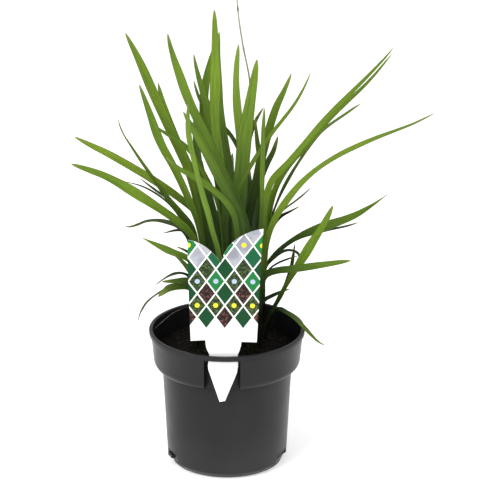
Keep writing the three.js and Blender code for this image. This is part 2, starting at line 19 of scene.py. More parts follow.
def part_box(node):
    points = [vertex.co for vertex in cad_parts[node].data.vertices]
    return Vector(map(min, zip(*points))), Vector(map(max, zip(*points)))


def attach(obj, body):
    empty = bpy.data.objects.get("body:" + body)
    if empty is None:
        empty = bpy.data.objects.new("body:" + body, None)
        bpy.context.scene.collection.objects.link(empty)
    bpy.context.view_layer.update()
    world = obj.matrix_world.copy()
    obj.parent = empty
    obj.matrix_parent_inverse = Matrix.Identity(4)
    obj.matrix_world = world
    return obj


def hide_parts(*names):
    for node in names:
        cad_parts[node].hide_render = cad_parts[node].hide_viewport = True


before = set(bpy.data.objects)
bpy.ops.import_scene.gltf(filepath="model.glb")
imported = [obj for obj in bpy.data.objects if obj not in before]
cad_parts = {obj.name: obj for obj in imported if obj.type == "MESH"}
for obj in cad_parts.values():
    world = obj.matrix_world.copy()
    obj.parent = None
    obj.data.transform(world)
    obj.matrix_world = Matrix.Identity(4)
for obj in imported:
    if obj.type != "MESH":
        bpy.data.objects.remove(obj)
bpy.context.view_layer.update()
MM = 0.001
print("CAD nodes:", len(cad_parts))

# %% [markdown]
# ## The camera
# The photograph looks down on the pot by about 20 degrees. A long lens a little over two metres away
# gives that view: the rim is a shallow ellipse and upright lines stay almost parallel. The camera
# comes first, because every later shape is compared with the photograph through it.

# %% Camera
SENSOR_WIDTH = 36
LONG_LENS = 183.8
CAMERA_PLACE = (0.0117, -2.041, 0.949)
CAMERA_PITCH = math.radians(70.05)  # 90 degrees would look level

camera_data = bpy.data.cameras.new("camera")
camera_data.sensor_width = SENSOR_WIDTH
camera_data.lens = LONG_LENS
camera = bpy.data.objects.new("camera", camera_data)
camera.location = CAMERA_PLACE
camera.rotation_euler = (CAMERA_PITCH, 0, 0)
bpy.context.scene.collection.objects.link(camera)
bpy.context.scene.camera = camera
print("camera at", tuple(round(v, 3) for v in camera.location))

# %% [markdown]
# ## Small helpers
# A finished piece is a mesh made from lists of points and faces, smooth where the real surface is
# smooth. A material is a Principled shader with a few nodes before it. These helpers keep the later
# cells short.

# %% Mesh helpers
BOX_FACES = [(0, 2, 3, 1), (4, 5, 7, 6), (0, 1, 5, 4), (2, 6, 7, 3), (0, 4, 6, 2), (1, 3, 7, 5)]
ONE_TURN = 6.28  # in radians, near enough for a wave or a random spin


def make_piece(name, points, faces, materials, smooth_angle=180):
    """A mesh object from points in millimetres, shaded smooth where faces meet at less than an angle."""
    mesh = bpy.data.meshes.new(name)
    mesh.from_pydata([tuple(float(v) * MM for v in point) for point in points], [], faces)
    for material in materials:
        mesh.materials.append(material)
    mesh.shade_smooth()
    if smooth_angle < 180:
        mesh.set_sharp_from_angle(angle=math.radians(smooth_angle))
    piece = bpy.data.objects.new(name, mesh)
    bpy.context.scene.collection.objects.link(piece)
    return piece


def stand_in_for(piece, slot, *nodes):
    """The piece rides with the plant and stands for these CAD nodes, which are hidden. slot is not used.
    """
    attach(piece, "root")
    if nodes:
        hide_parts(*nodes)
    return piece


def ease(low, high, value):
    """0 below low, 1 above high, and a smooth rise between."""
    share = np.clip((value - low) / (high - low), 0, 1)
    return share * share * (3 - 2 * share)


print("a quarter of the way along, a smooth rise is at", float(ease(0.0, 1.0, 0.25)))

# %% Start a material


def new_material(name, roughness=0.5):
    """An empty material, with its node tree and its Principled shader."""
    material = bpy.data.materials.new(name)
    material.use_nodes = True
    shader = material.node_tree.nodes["Principled BSDF"]
    shader.inputs["Roughness"].default_value = roughness
    return material, material.node_tree, shader


def plug(tree, socket, value):
    """Links a node's output to a socket, or sets a plain value on it."""
    if isinstance(value, bpy.types.NodeSocket):
        tree.links.new(value, socket)
    elif isinstance(value, (tuple, list)) and len(value) == 3 and socket.type == "RGBA":
        socket.default_value = (*value, 1)
    else:
        socket.default_value = value


print("helpers that start a material:", new_material.__name__, "and", plug.__name__)

# %% Colours and numbers


def blend(tree, share, first, second, mode="MIX"):
    """Goes from the first colour to the second as share goes from 0 to 1."""
    node = tree.nodes.new("ShaderNodeMix")
    node.data_type = "RGBA"
    node.blend_type = mode
    plug(tree, node.inputs["Factor"], share)
    plug(tree, node.inputs[6], first)
    plug(tree, node.inputs[7], second)
    return node.outputs[2]


def calc(tree, operation, first, second=0.0, third=0.0):
    """One sum, such as MULTIPLY or SINE, on sockets or plain numbers."""
    node = tree.nodes.new("ShaderNodeMath")
    node.operation = operation
    for socket, value in zip(node.inputs, (first, second, third)):
        plug(tree, socket, value)
    return node.outputs[0]


def span(tree, value, low, high, to_low=0.0, to_high=1.0):
    """Maps a value from one range to another, held at both ends."""
    node = tree.nodes.new("ShaderNodeMapRange")
    node.interpolation_type = "SMOOTHSTEP"
    plug(tree, node.inputs["Value"], value)
    ends = {"From Min": low, "From Max": high, "To Min": to_low, "To Max": to_high}
    for label, number in ends.items():
        node.inputs[label].default_value = number
    return node.outputs["Result"]


print("helpers for colours and numbers:", blend.__name__, calc.__name__, "and", span.__name__)

# %% Noise and bumps


def grain(tree, scale, detail=3.0, stretch=(1, 1, 1), uv_map=None):
    """Noise from 0 to 1, at a scale per metre, on object coordinates or on a UV map."""
    if uv_map:
        where = tree.nodes.new("ShaderNodeUVMap")
        where.uv_map = uv_map
        place = where.outputs["UV"]
    else:
        place = tree.nodes.new("ShaderNodeTexCoord").outputs["Object"]
    mapping = tree.nodes.new("ShaderNodeMapping")
    mapping.inputs["Scale"].default_value = stretch
    tree.links.new(place, mapping.inputs["Vector"])
    node = tree.nodes.new("ShaderNodeTexNoise")
    node.inputs["Scale"].default_value = scale
    node.inputs["Detail"].default_value = detail
    tree.links.new(mapping.outputs["Vector"], node.inputs["Vector"])
    return node.outputs["Fac"]


def relief(tree, shader, height, depth):
    """Bump from a height socket, where depth is the height in metres that 1 stands for."""
    node = tree.nodes.new("ShaderNodeBump")
    node.inputs["Strength"].default_value = 1
    node.inputs["Distance"].default_value = depth
    tree.links.new(height, node.inputs["Height"])
    tree.links.new(node.outputs["Normal"], shader.inputs["Normal"])


print("helpers for noise and bumps:", grain.__name__, "and", relief.__name__)

# %% [markdown]
# ## Leaf green
# A flax lily's leaf is a long strap with fine veins along it, a paler midrib, darker edges and a tip
# that has started to yellow. Its foot is sheathed by older leaves. The material paints shade there:
# it darkens the lower leaf and turns the foot near black, which is partly the sheath's own dark
# colour and partly painted shade. One material can serve every leaf if each mesh carries what
# differs: one UV map runs across the blade and back from its tip, a second holds the distance from
# the foot and how far up the painted shade reaches, and a colour attribute holds how light, how
# yellow and how dry the leaf is, where how light is partly painted light and shade.
# A little subsurface scattering gives the glow of light that shines through.

# %% Leaf material
VEINS_ACROSS = 13
DEEP_GREEN = (0.013, 0.042, 0.005)
FRESH_GREEN = (0.100, 0.205, 0.008)
PALE_GREEN = (0.265, 0.410, 0.055)
YELLOW_GREEN = (0.215, 0.300, 0.006)
DRY_BROWN = (0.052, 0.052, 0.028)
TIP_YELLOW = (0.330, 0.360, 0.110)
TIP_BROWN = (0.180, 0.125, 0.060)
# The near-black foot colour is the sheath's own dark colour together with painted shade.
SHEATH_AND_PAINTED_SHADE = (0.010, 0.011, 0.006)
STREAK_GREEN = (0.022, 0.085, 0.004)
LINE_GREEN = (0.230, 0.340, 0.040)
CLOUD_GREEN = (0.190, 0.300, 0.014)
VEIN_GREEN = (0.160, 0.260, 0.035)
MIDRIB_GREEN = (0.200, 0.310, 0.060)
EDGE_GREEN = (0.040, 0.070, 0.020)
# The dark green that paints shade over the lower part of each leaf.
PAINTED_FOOT_SHADE = (0.040, 0.120, 0.020)


def split_map(tree, uv_map):
    """The two numbers that a UV map holds."""
    where = tree.nodes.new("ShaderNodeUVMap")
    where.uv_map = uv_map
    apart = tree.nodes.new("ShaderNodeSeparateXYZ")
    tree.links.new(where.outputs["UV"], apart.inputs[0])
    return apart.outputs[0], apart.outputs[1]


def leaf_green():
    """Green, streaked and veined along the blade, darkened by painted shade towards the foot, and yellow
    to brown at the tip.
    """
    material, tree, shader = new_material("leaf_green")
    tone = tree.nodes.new("ShaderNodeVertexColor")
    tone.layer_name = "tone"
    parts = tree.nodes.new("ShaderNodeSeparateColor")
    tree.links.new(tone.outputs["Color"], parts.inputs["Color"])
    light, yellow, dry = parts.outputs
    across, from_tip = split_map(tree, "blade")
    from_foot, painted_shade_reach = split_map(tree, "foot")

    colour = blend(tree, span(tree, light, 0.0, 0.5), DEEP_GREEN, FRESH_GREEN)
    colour = blend(tree, span(tree, light, 0.5, 1.0), colour, PALE_GREEN)
    colour = blend(tree, yellow, colour, YELLOW_GREEN)
    streaks = grain(tree, 3.0, 4.0, uv_map="blade", stretch=(9, 1.2, 1))
    colour = blend(tree, span(tree, streaks, 0.35, 0.70, 0.0, 0.66), colour, STREAK_GREEN)
    lines = grain(tree, 3.0, 2.0, uv_map="blade", stretch=(24, 0.8, 1))
    colour = blend(tree, span(tree, lines, 0.50, 0.68, 0.0, 0.40), colour, LINE_GREEN)
    cloud = grain(tree, 22.0, 3.0)
    colour = blend(tree, span(tree, cloud, 0.42, 0.70, 0.0, 0.35), colour, CLOUD_GREEN)

    veins = calc(tree, "SINE", calc(tree, "MULTIPLY", across, 2 * math.pi * VEINS_ACROSS))
    colour = blend(tree, span(tree, veins, 0.2, 1.0, 0.0, 0.20), colour, VEIN_GREEN)
    from_midrib = calc(tree, "ABSOLUTE", calc(tree, "SUBTRACT", across, 0.5))
    colour = blend(tree, span(tree, from_midrib, 0.015, 0.05, 0.45, 0.0), colour, MIDRIB_GREEN)
    colour = blend(tree, span(tree, from_midrib, 0.44, 0.495, 0.0, 0.6), colour, EDGE_GREEN)

    colour = blend(tree, dry, colour, DRY_BROWN)
    # Painted shade: from the foot up to its reach, each leaf's colour is multiplied towards dark green,
    # standing in for the shade inside the tuft.
    share = calc(tree, "DIVIDE", from_foot, painted_shade_reach)
    shaded = span(tree, share, 0.30, 1.0, 0.90, 0.0)
    colour = blend(tree, shaded, colour, PAINTED_FOOT_SHADE, "MULTIPLY")
    # Near black on the lowest part of the foot: the sheath's own dark colour together with painted shade.
    colour = blend(tree, span(tree, from_foot, 0.28, 0.55, 0.92, 0.0), colour, SHEATH_AND_PAINTED_SHADE)
    ragged = calc(tree, "MULTIPLY_ADD", streaks, 0.06, from_tip)
    colour = blend(tree, span(tree, ragged, 0.03, 0.16, 0.50, 0.0), colour, TIP_YELLOW)
    colour = blend(tree, span(tree, ragged, 0.02, 0.05, 0.45, 0.0), colour, TIP_BROWN)
    tree.links.new(colour, shader.inputs["Base Color"])

    rough = span(tree, grain(tree, 160.0, 2.0), 0.3, 0.7, 0.40, 0.54)
    tree.links.new(rough, shader.inputs["Roughness"])
    ridges = calc(tree, "MULTIPLY_ADD", veins, 0.5, streaks)
    relief(tree, shader, ridges, 0.00012)
    shader.inputs["Subsurface Weight"].default_value = 0.12
    shader.inputs["Subsurface Radius"].default_value = (0.9, 1.0, 0.25)
    shader.inputs["Subsurface Scale"].default_value = 0.0014
    shader.inputs["Specular IOR Level"].default_value = 0.22
    return material


LEAF_GREEN = leaf_green()
print("made", LEAF_GREEN.name)

# %% [markdown]
# ## The shape of a leaf
# The blade is folded to a V at its foot, where it clasps the shoot, and opens to a shallow channel
# with a keel below. It could be drawn as a curve with a bevel, but a bevel can't change its section
# along the way. So each leaf is lofted: the CAD leaf is a chain of four-cornered rings, and those
# rings give the centre line, the width and the way the blade faces. A cubic through them gives as
# many fine rings as the curve needs.

# %% Read a CAD leaf
MIX_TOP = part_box("potting_mix")[1][2]
FOOT_LEVEL = MIX_TOP + 0.3 * MM  # the CAD leaves stand this far over the mix
SAME_LEVEL = 0.02  # millimetres


def linked_points(node):
    """A CAD node's own corners, in millimetres, with the corners that each is joined to."""
    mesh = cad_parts[node].data
    index_of, points, same = {}, [], []
    for vertex in mesh.vertices:
        key = tuple(round(v, 6) for v in vertex.co)
        if key not in index_of:
            index_of[key] = len(points)
            points.append(np.array(vertex.co) / MM)
        same.append(index_of[key])
    joined = [set() for _ in points]
    for edge in mesh.edges:
        a, b = (same[v] for v in edge.vertices)
        if a != b:
            joined[a].add(b)
            joined[b].add(a)
    return points, joined


def rings_from(points, joined, foot):
    """The rings of corners from the foot upwards: each is one step further along the mesh's edges."""
    rings, reached = [sorted(foot)], set(foot)
    while len(reached) < len(points):
        above = sorted({n for p in rings[-1] for n in joined[p]} - reached)
        if not above:
            raise ValueError("the rings don't reach the tip")
        rings.append(above)
        reached.update(above)
    return [np.array([points[i] for i in ring]) for ring in rings]


def leaf_rings(node):
    """Rings of [edge, keel, edge, groove] from foot to tip, and the tip point."""
    points, joined = linked_points(node)
    foot = [i for i, p in enumerate(points) if abs(p[2] - FOOT_LEVEL / MM) < SAME_LEVEL]
    *rings, tip = rings_from(points, joined, foot)
    middle = len(rings) // 2
    core = rings[middle]
    pairs = itertools.combinations(range(4), 2)
    widest = max(pairs, key=lambda pair: np.linalg.norm(core[pair[0]] - core[pair[1]]))
    edge_a, edge_b = (core[i] for i in widest)
    axis = (edge_b - edge_a) / np.linalg.norm(edge_b - edge_a)

    def depth(i):
        """How far a corner lies off the line between the edges."""
        return np.linalg.norm(np.cross(core[i] - edge_a, axis))

    others = [i for i in range(4) if i not in widest]
    keel, groove = sorted(others, key=depth, reverse=True)
    rings[middle] = core[[widest[0], keel, widest[1], groove]]
    for step in (1, -1):
        at = middle + step
        while 0 <= at < len(rings):
            known = rings[at - step] - rings[at - step].mean(axis=0)
            loose = rings[at] - rings[at].mean(axis=0)
            orders = itertools.permutations(range(4))
            best = min(orders, key=lambda order: np.abs(loose[list(order)] - known).sum())
            rings[at] = rings[at][list(best)]
            at += step
    return np.array(rings), tip[0]


leaf_nodes = sorted(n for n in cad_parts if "_shoot_leaf_" in n)
example_rings, _ = leaf_rings(leaf_nodes[0])
print(len(leaf_nodes), "leaves; the first has", len(example_rings), "rings")

# %% Smooth curves


def through(knots, values, at):
    """A cubic through values at knots, read at other places."""
    slopes = np.gradient(values, knots, axis=0)
    place = np.clip(np.searchsorted(knots, at, side="right") - 1, 0, len(knots) - 2)
    gap = (knots[place + 1] - knots[place])[:, None]
    t = (at[:, None] - knots[place][:, None]) / gap
    first, second = values[place], values[place + 1]
    return (
        (2 * t**3 - 3 * t**2 + 1) * first
        + (t**3 - 2 * t**2 + t) * gap * slopes[place]
        + (3 * t**2 - 2 * t**3) * second
        + (t**3 - t**2) * gap * slopes[place + 1]
    )


def unit(vectors):
    """The same directions, each one long."""
    return vectors / np.linalg.norm(vectors, axis=-1, keepdims=True)


def distances(points):
    """How far along a line each of its points lies."""
    steps = np.linalg.norm(np.diff(points, axis=0), axis=1)
    return np.concatenate([[0], np.cumsum(steps)])


print("that leaf's keel is", round(float(distances(example_rings[:, 1])[-1])), "mm long")

# %% Rings along a leaf
ALONG = 64  # fine rings on a leaf
CROWDING = 1.35  # above 1, the rings lie closer together towards the tip
TIP_CURVE = 0.55  # below 1, the tip is rounded
SLIMMEST = 1.2  # a leaf is at least this much wider than its point, but for its last part
LAST_PART = 10  # that part's length, in millimetres
POINT_WIDTH = 0.15  # width of the very tip, in millimetres


def blade_frame(rings, tip):
    """Fine rings on a leaf: how far along they lie, their middles, their axes and their widths."""
    middle = (rings[:, 0] + rings[:, 2]) / 2
    across = rings[:, 2] - rings[:, 0]
    widths = np.linalg.norm(across, axis=1)
    centres = np.vstack([middle, tip])
    knots = distances(centres)
    last, length = knots[-2:]

    share = 1 - (1 - np.linspace(0, 1, ALONG)) ** CROWDING
    at = share * length
    centre = through(knots, centres, at)
    tangent = unit(np.gradient(centre, at + 1e-6 * np.arange(ALONG), axis=0))
    side = through(knots[:-1], unit(across), np.minimum(at, last))
    side = unit(side - (side * tangent).sum(axis=1, keepdims=True) * tangent)
    face = np.cross(side, tangent)
    lean = (rings[:, 3] - rings[:, 1]).mean(axis=0)
    face *= np.sign((face.mean(axis=0) * lean).sum())

    wide = through(knots[:-1], widths[:, None], np.minimum(at, last))[:, 0]
    beyond = at > last
    wide[beyond] = widths[-1] * ((length - at[beyond]) / (length - last)) ** TIP_CURVE
    wide = np.maximum(wide, POINT_WIDTH + SLIMMEST * ease(0, LAST_PART, length - at))
    return share, at, centre, side, face, wide


example_widths = blade_frame(*leaf_rings(leaf_nodes[0]))[-1]
print("and it is", round(float(example_widths.max()), 1), "mm wide")

# %% Section of a leaf
ACROSS = 15  # points across a leaf's upper side
FOOT_FOLD = 0.42  # depth of the fold at the foot, as a share of the width
OPENED = 0.27  # how much less that share is further up
OPEN_BY = 0.45  # the share of the leaf's length by which it has opened
ROUNDING = 0.7  # how much rounder than a plain V the channel becomes
RIPPLE = 0.05  # height of the wavy edge, as a share of the width
SIDE_LAG = 1.3  # how far each edge's waves are shifted, one back and one on, in radians
CRINKLES = 11  # short waves along a crinkled leaf
EDGE_ROLL = 0.05  # how far the edges turn down, as a share of the width
EDGE_THICK = 0.18  # millimetres
BLADE_THICK = 0.34  # how much thicker the middle is than the edge, in millimetres
MIDRIB_THICK = 0.32  # how far the midrib stands out, in millimetres
MIDRIB_HALF = 0.09  # half the midrib's width, as a share of half the blade's
FULL_WIDTH = 4  # a leaf narrower than this is thinner too, in millimetres


def blade_section(wide, share, turns, waves, crinkle):
    """Where the points across one ring lie, and the heights of its upper and lower sides."""
    u = np.linspace(-1, 1, ACROSS)
    fold = wide * (FOOT_FOLD - OPENED * ease(0.0, OPEN_BY, share))
    bend = 1.0 + ROUNDING * ease(0.1, 0.6, share)
    edge_waves = np.sin(turns + waves * ONE_TURN * share + SIDE_LAG * np.sign(u))
    ripple = RIPPLE * wide * edge_waves * np.abs(u) ** 2
    ripple += crinkle * wide * np.sin(turns + CRINKLES * share * ONE_TURN + 2 * u) * np.abs(u)
    channel = -fold * (1 - np.abs(u) ** bend) - EDGE_ROLL * wide * np.abs(u) ** 5
    upper = channel + ripple
    body = min(1.0, wide / FULL_WIDTH)
    midrib = MIDRIB_THICK * body * np.exp(-((u / MIDRIB_HALF) ** 2))
    thick = body * (EDGE_THICK + BLADE_THICK * (1 - u * u)) + midrib
    return u, upper, upper - thick


_, example_upper, example_lower = blade_section(10.0, 0.3, 0.0, 4.0, 0.0)
print("a 10 mm blade is up to", round(float((example_upper - example_lower).max()), 2), "mm thick")

# %% Faces and maps of a loft


def loft_faces(rings, count, tip):
    """Quads between rings of count points, a flat end at the first ring and a point at the tip."""
    faces = []
    for ring in range(rings - 1):
        base = ring * count
        for i in range(count):
            j = (i + 1) % count
            faces.append((base + i, base + j, base + count + j, base + count + i))
    top = (rings - 1) * count
    faces += [(top + i, top + (i + 1) % count, tip) for i in range(count)]
    faces.append(tuple(reversed(range(count))))
    return faces


def write_maps(mesh, blade_uv, foot_uv, tone):
    """Writes the two UV maps and the tone that the leaf material reads."""
    for name, values in (("blade", blade_uv), ("foot", foot_uv)):
        layer = mesh.uv_layers.new(name=name)
        corners = np.array([values[loop.vertex_index] for loop in mesh.loops], dtype=np.float32)
        layer.data.foreach_set("uv", corners.ravel())
    colours = mesh.color_attributes.new("tone", "FLOAT_COLOR", "POINT")
    colours.data.foreach_set("color", np.tile([*tone, 1.0], len(mesh.vertices)).astype(np.float32))


print("a leaf will have", len(loft_faces(ALONG + 1, 2 * ACROSS, 0)), "faces")

# %% Loft a leaf
SUNK = 4.0  # how far a leaf goes on down from its foot, in millimetres
MAP_UNIT = 100  # millimetres along a leaf that 1 stands for in the UV maps
WAVES = (3.0, 5.5)  # along a leaf's edge, at least and at most


def loft_leaf(node, tone, material, crinkle=0.0, slot="leaf"):
    """The fine leaf for a CAD leaf. tone is (light, yellow, dry, reach of the painted shade at the foot
    in 100 mm).
    """
    rings, tip = leaf_rings(node)
    share, at, centre, side, face, wide = blade_frame(rings, tip)
    length = at[-1]
    dice = random.Random(node)
    turns = dice.uniform(0, ONE_TURN)
    waves = dice.uniform(*WAVES)
    points, blade_uv, foot_uv = [], [], []
    for i in range(ALONG):
        u, upper, lower = blade_section(wide[i], share[i], turns, waves, crinkle)
        for offset, height in zip([*u, *u[::-1]], [*upper, *lower[::-1]]):
            points.append(centre[i] + side[i] * offset * wide[i] / 2 + face[i] * height)
            blade_uv.append((offset / 2 + 0.5, (length - at[i]) / MAP_UNIT))
            foot_uv.append((at[i] / MAP_UNIT, tone[3]))
    count = 2 * ACROSS
    sunk = [p + np.array([0, 0, -SUNK]) for p in points[:count]]
    points = sunk + points + [tip]
    blade_uv = blade_uv[:count] + blade_uv + [(0.5, 0.0)]
    foot_uv = foot_uv[:count] + foot_uv + [(length / MAP_UNIT, tone[3])]
    faces = loft_faces(ALONG + 1, count, len(points) - 1)

    piece = make_piece(node + "_blade", points, faces, [material])
    write_maps(piece.data, blade_uv, foot_uv, tone[:3])
    return stand_in_for(piece, slot, node)


print("a leaf goes on", SUNK, "mm down from its foot")

# %% [markdown]
# ## The tuft
# Every leaf gets its own tone: light, yellow and dry, each from 0 to 1, and how far up the painted
# shade at its foot reaches, in units of 100 mm. How light a leaf is stands partly for its own green
# and partly for painted light and shade: the tall leaves at the front are fresh, the crossing ones
# are painted lighter where they catch the light, the inner and lower ones are painted dark for the
# shade they stand in, and the thinnest have started to dry. The leaves at the back are dark greens,
# painted darker for the shade they stand in.

# %% Grow the leaves
# How light each leaf is, and how far up its foot is darkened, paint light and shade into its green.
TONES = {
    "left_shoot": [
        (0.62, 0.48, 0.0, 2.0), (0.48, 0.36, 0.0, 2.5), (0.56, 0.28, 0.0, 1.9), (0.38, 0.25, 0.0, 2.2),
        (0.80, 0.78, 0.0, 2.2), (0.42, 0.36, 0.0, 1.7), (0.42, 0.40, 0.1, 2.2), (0.20, 0.25, 0.5, 2.2),
        (0.25, 0.30, 0.4, 2.4), (0.18, 0.20, 0.5, 1.9), (0.00, 0.00, 0.7, 2.5),
    ],
    "low_left_shoot": [
        (0.40, 0.34, 0.0, 1.4), (0.26, 0.22, 0.0, 1.4), (0.00, 0.00, 0.5, 3.0), (0.15, 0.20, 0.5, 1.5),
        (0.45, 0.40, 0.0, 1.2), (0.25, 0.25, 0.1, 1.1), (0.05, 0.10, 0.7, 1.0),
    ],
    "centre_left_shoot": [
        (0.74, 0.15, 0.0, 1.5), (0.62, 0.48, 0.0, 2.6), (0.46, 0.28, 0.0, 2.8), (0.54, 0.42, 0.0, 2.5),
        (0.44, 0.38, 0.0, 2.8),
    ],
    "centre_shoot": [
        (0.86, 0.30, 0.0, 2.7), (0.64, 0.42, 0.0, 2.7), (0.44, 0.28, 0.0, 2.9), (0.28, 0.25, 0.0, 3.2),
    ],
    "centre_right_shoot": [
        (0.47, 0.28, 0.0, 2.9), (0.30, 0.16, 0.0, 2.5), (0.42, 0.22, 0.0, 2.1), (0.26, 0.28, 0.1, 3.0),
        (0.48, 0.45, 0.0, 2.6), (0.24, 0.28, 0.1, 3.0), (0.30, 0.30, 0.0, 2.4),
    ],
    "right_shoot": [
        (0.58, 0.45, 0.0, 1.5), (0.48, 0.45, 0.0, 1.7), (0.28, 0.25, 0.1, 2.6), (0.68, 0.55, 0.08, 1.4),
        (0.20, 0.20, 0.6, 2.0), (0.02, 0.05, 0.5, 3.5), (0.36, 0.35, 0.0, 2.0),
    ],
    "low_right_shoot": [
        (0.55, 0.40, 0.0, 1.2), (0.46, 0.32, 0.0, 1.9), (0.15, 0.10, 0.3, 2.4), (0.42, 0.26, 0.0, 2.0),
        (0.22, 0.30, 0.1, 1.5), (0.08, 0.10, 0.4, 2.2), (0.08, 0.10, 0.4, 2.2), (0.08, 0.10, 0.3, 2.0),
        (0.28, 0.30, 0.2, 0.8),
    ],
    "back_shoot": [
        (0.26, 0.20, 0.0, 2.9), (0.20, 0.15, 0.0, 3.0), (0.18, 0.12, 0.0, 3.1), (0.32, 0.25, 0.0, 2.7),
        (0.18, 0.12, 0.0, 3.1),
    ],
}

for node in leaf_nodes:
    shoot, number = node.rsplit("_leaf_", 1)
    loft_leaf(node, TONES[shoot][int(number) - 1], LEAF_GREEN)
print("lofted", len(leaf_nodes), "leaves with", ALONG, "rings each")

# %% [markdown]
# ## The dead leaf
# One old leaf has dried and dropped onto the inside of the rim. It is thin, grey-brown and crinkled,
# so it is the same loft with a crinkle and a papery material.

# %% Dry leaf
PAPER_GREYS = (0.060, 0.052, 0.045), (0.130, 0.115, 0.100)
RUSTY_FOOT = (0.080, 0.022, 0.016)


def papery():
    """Grey-brown fibres along the blade, rusty at the foot."""
    material, tree, shader = new_material("dry_leaf_paper", 0.8)
    fibres = grain(tree, 4.0, 4.0, uv_map="blade", stretch=(8, 1, 1))
    colour = blend(tree, span(tree, fibres, 0.3, 0.7), *PAPER_GREYS)
    from_foot, _ = split_map(tree, "foot")
    colour = blend(tree, span(tree, from_foot, 0.2, 0.6, 0.8, 0.0), colour, RUSTY_FOOT)
    tree.links.new(colour, shader.inputs["Base Color"])
    relief(tree, shader, fibres, 0.0003)
    return material


loft_leaf("dry_leaf", (0, 0, 1, 0), papery(), crinkle=0.12, slot="dry_leaf")
print("laid the dead leaf on the rim")

# %% [markdown]
# ## The pot
# The pot is injection-moulded in thin charcoal plastic: a tapered body, a round step out to a tall
# collar, and a small lip. The outline is turned about the axis like clay on a wheel. The tag slot,
# the bay behind it and the drain holes are then cut and added with booleans, which is how the
# mould's own inserts work.

# %% Turn an outline
POT_STEPS = 192
ON_AXIS = 1e-6


def around(reach, degrees):
    """The x and y of a place at a distance and an angle from the pot's axis."""
    angle = math.radians(degrees)
    return reach * math.cos(angle), reach * math.sin(angle)


def join_rows(rows):
    """Faces between rows of points that run round the axis, where a row can be one point."""
    faces = []
    for lower, upper in zip(rows, rows[1:]):
        for i in range(len(lower)):
            j = (i + 1) % len(lower)
            face = [lower[i], lower[j], upper[j], upper[i]]
            faces.append([v for k, v in enumerate(face) if v != face[k - 1]])
    return faces


def turn(outline):
    """Points and faces of an outline of (radius, height) turned about the axis, in millimetres."""
    points, rows = [], []
    for radius, height in outline:
        if radius < ON_AXIS:
            rows.append([len(points)] * POT_STEPS)
            points.append((0, 0, height))
            continue
        rows.append([len(points) + i for i in range(POT_STEPS)])
        points += [(*around(radius, 360.0 * i / POT_STEPS), height) for i in range(POT_STEPS)]
    return points, join_rows(rows)


print("a turned cone has", len(turn([(1, 0), (0, 1)])[1]), "faces")

# %% Outline of the pot
COLLAR_FOOT = 97.0
COLLAR_DROP = 8.0
CORNER_STEPS = 12


def arc(centre, radius, start, end, steps):
    """Points on a round corner, as (radius, height), between two angles in degrees."""
    angles = [math.radians(start + (end - start) * i / steps) for i in range(steps + 1)]
    return [(centre[0] + radius * math.cos(a), centre[1] + radius * math.sin(a)) for a in angles]


def under_collar(body, collar):
    """The round step from the body's radius out to the collar's."""
    angles = [i / CORNER_STEPS * math.pi / 2 for i in range(CORNER_STEPS + 1)]
    step = collar - body
    return [(body + step * math.sin(a), COLLAR_FOOT - COLLAR_DROP * math.cos(a)) for a in angles]


# The rings between 14 and 50 mm up keep the shading of the drain recesses out of the plain wall.
POT_OUTSIDE = [
    (0, 0), (15.5, 0), (16.2, 0.3), (17.8, 1.9), (43, 2), (44.4, 0.6), (45.2, 0), (49.4, 0), (50.2, 0.3),
    (53.5, 4.4), (54, 5.2), (54.05, 6), (54.5, 14.5), (54.9, 22), (56.3, 50),
    (58.2, 86), *under_collar(58.2, 66),
    (68.15, 119.4), (68.3, 119.9), (69.3, 120.3), (69.9, 120.8), *arc((69.3, 123.8), 0.7, 0, 90, 4),
]
POT_INSIDE = [
    *arc((67.3, 123.8), 0.7, 90, 180, 4), (66.5, 120), *under_collar(56.7, 64.5)[::-1],
    (56.7, 86), (54.85, 50), (53.4, 22), (53, 14.5), (52.6, 6.5), (52.2, 5.7), (48.5, 3.7), (0, 3.6),
]
print("the pot's outline has", len(POT_OUTSIDE) + len(POT_INSIDE), "points")

# %% Boxes and booleans


def box_piece(name, corners, angle):
    """A closed box with eight corners, turned about the pot's axis."""
    spin = Matrix.Rotation(math.radians(angle), 3, "Z")
    return make_piece(name, [spin @ Vector(corner) for corner in corners], BOX_FACES, [])


def block(name, low, high, angle=0.0):
    """An upright box between two corners, turned about the pot's axis."""
    corners = [(x, y, z) for z in (low[2], high[2]) for y in (low[1], high[1]) for x in (low[0], high[0])]
    return box_piece(name, corners, angle)


def carve(piece, operation, tool):
    """Cuts a tool out of a piece, joins it on or keeps what they share, and removes the tool."""
    modifier = piece.modifiers.new("carve", "BOOLEAN")
    modifier.operation = operation
    modifier.solver = "EXACT"
    modifier.object = tool
    result = bpy.data.meshes.new_from_object(piece.evaluated_get(bpy.context.evaluated_depsgraph_get()))
    piece.modifiers.clear()
    old, piece.data = piece.data, result
    bpy.data.meshes.remove(old)
    bpy.data.objects.remove(tool)
    return piece


def ring(name, radii, bottom, top):
    """A flat-topped ring about the pot's axis."""
    inner, outer = radii
    outline = [(inner, bottom), (outer, bottom), (outer, top), (inner, top), (inner, bottom)]
    return make_piece(name, *turn(outline), [])


pot = make_piece("nursery_pot", *turn([*POT_OUTSIDE, *POT_INSIDE]), [])
print("turned pot:", len(pot.data.polygons), "faces")

# %% Cut the tag slot
SLOT_LEFT, SLOT_RIGHT = -20.0, 12.0
SLOT_FLOOR, SLOT_TOP = 88.0, 119.5
SLOT_RADII = (55.0, 73.0)  # right through the collar
BAY_RADII = (56.75, 58.0)  # the wall behind the slot
BAY_FLOOR, BAY_TOP = SLOT_FLOOR - 2.2, 114.1
BAY_MARGIN = 1.4
FAR, HIGH = 80, 130  # past the pot's wall, and above its rim

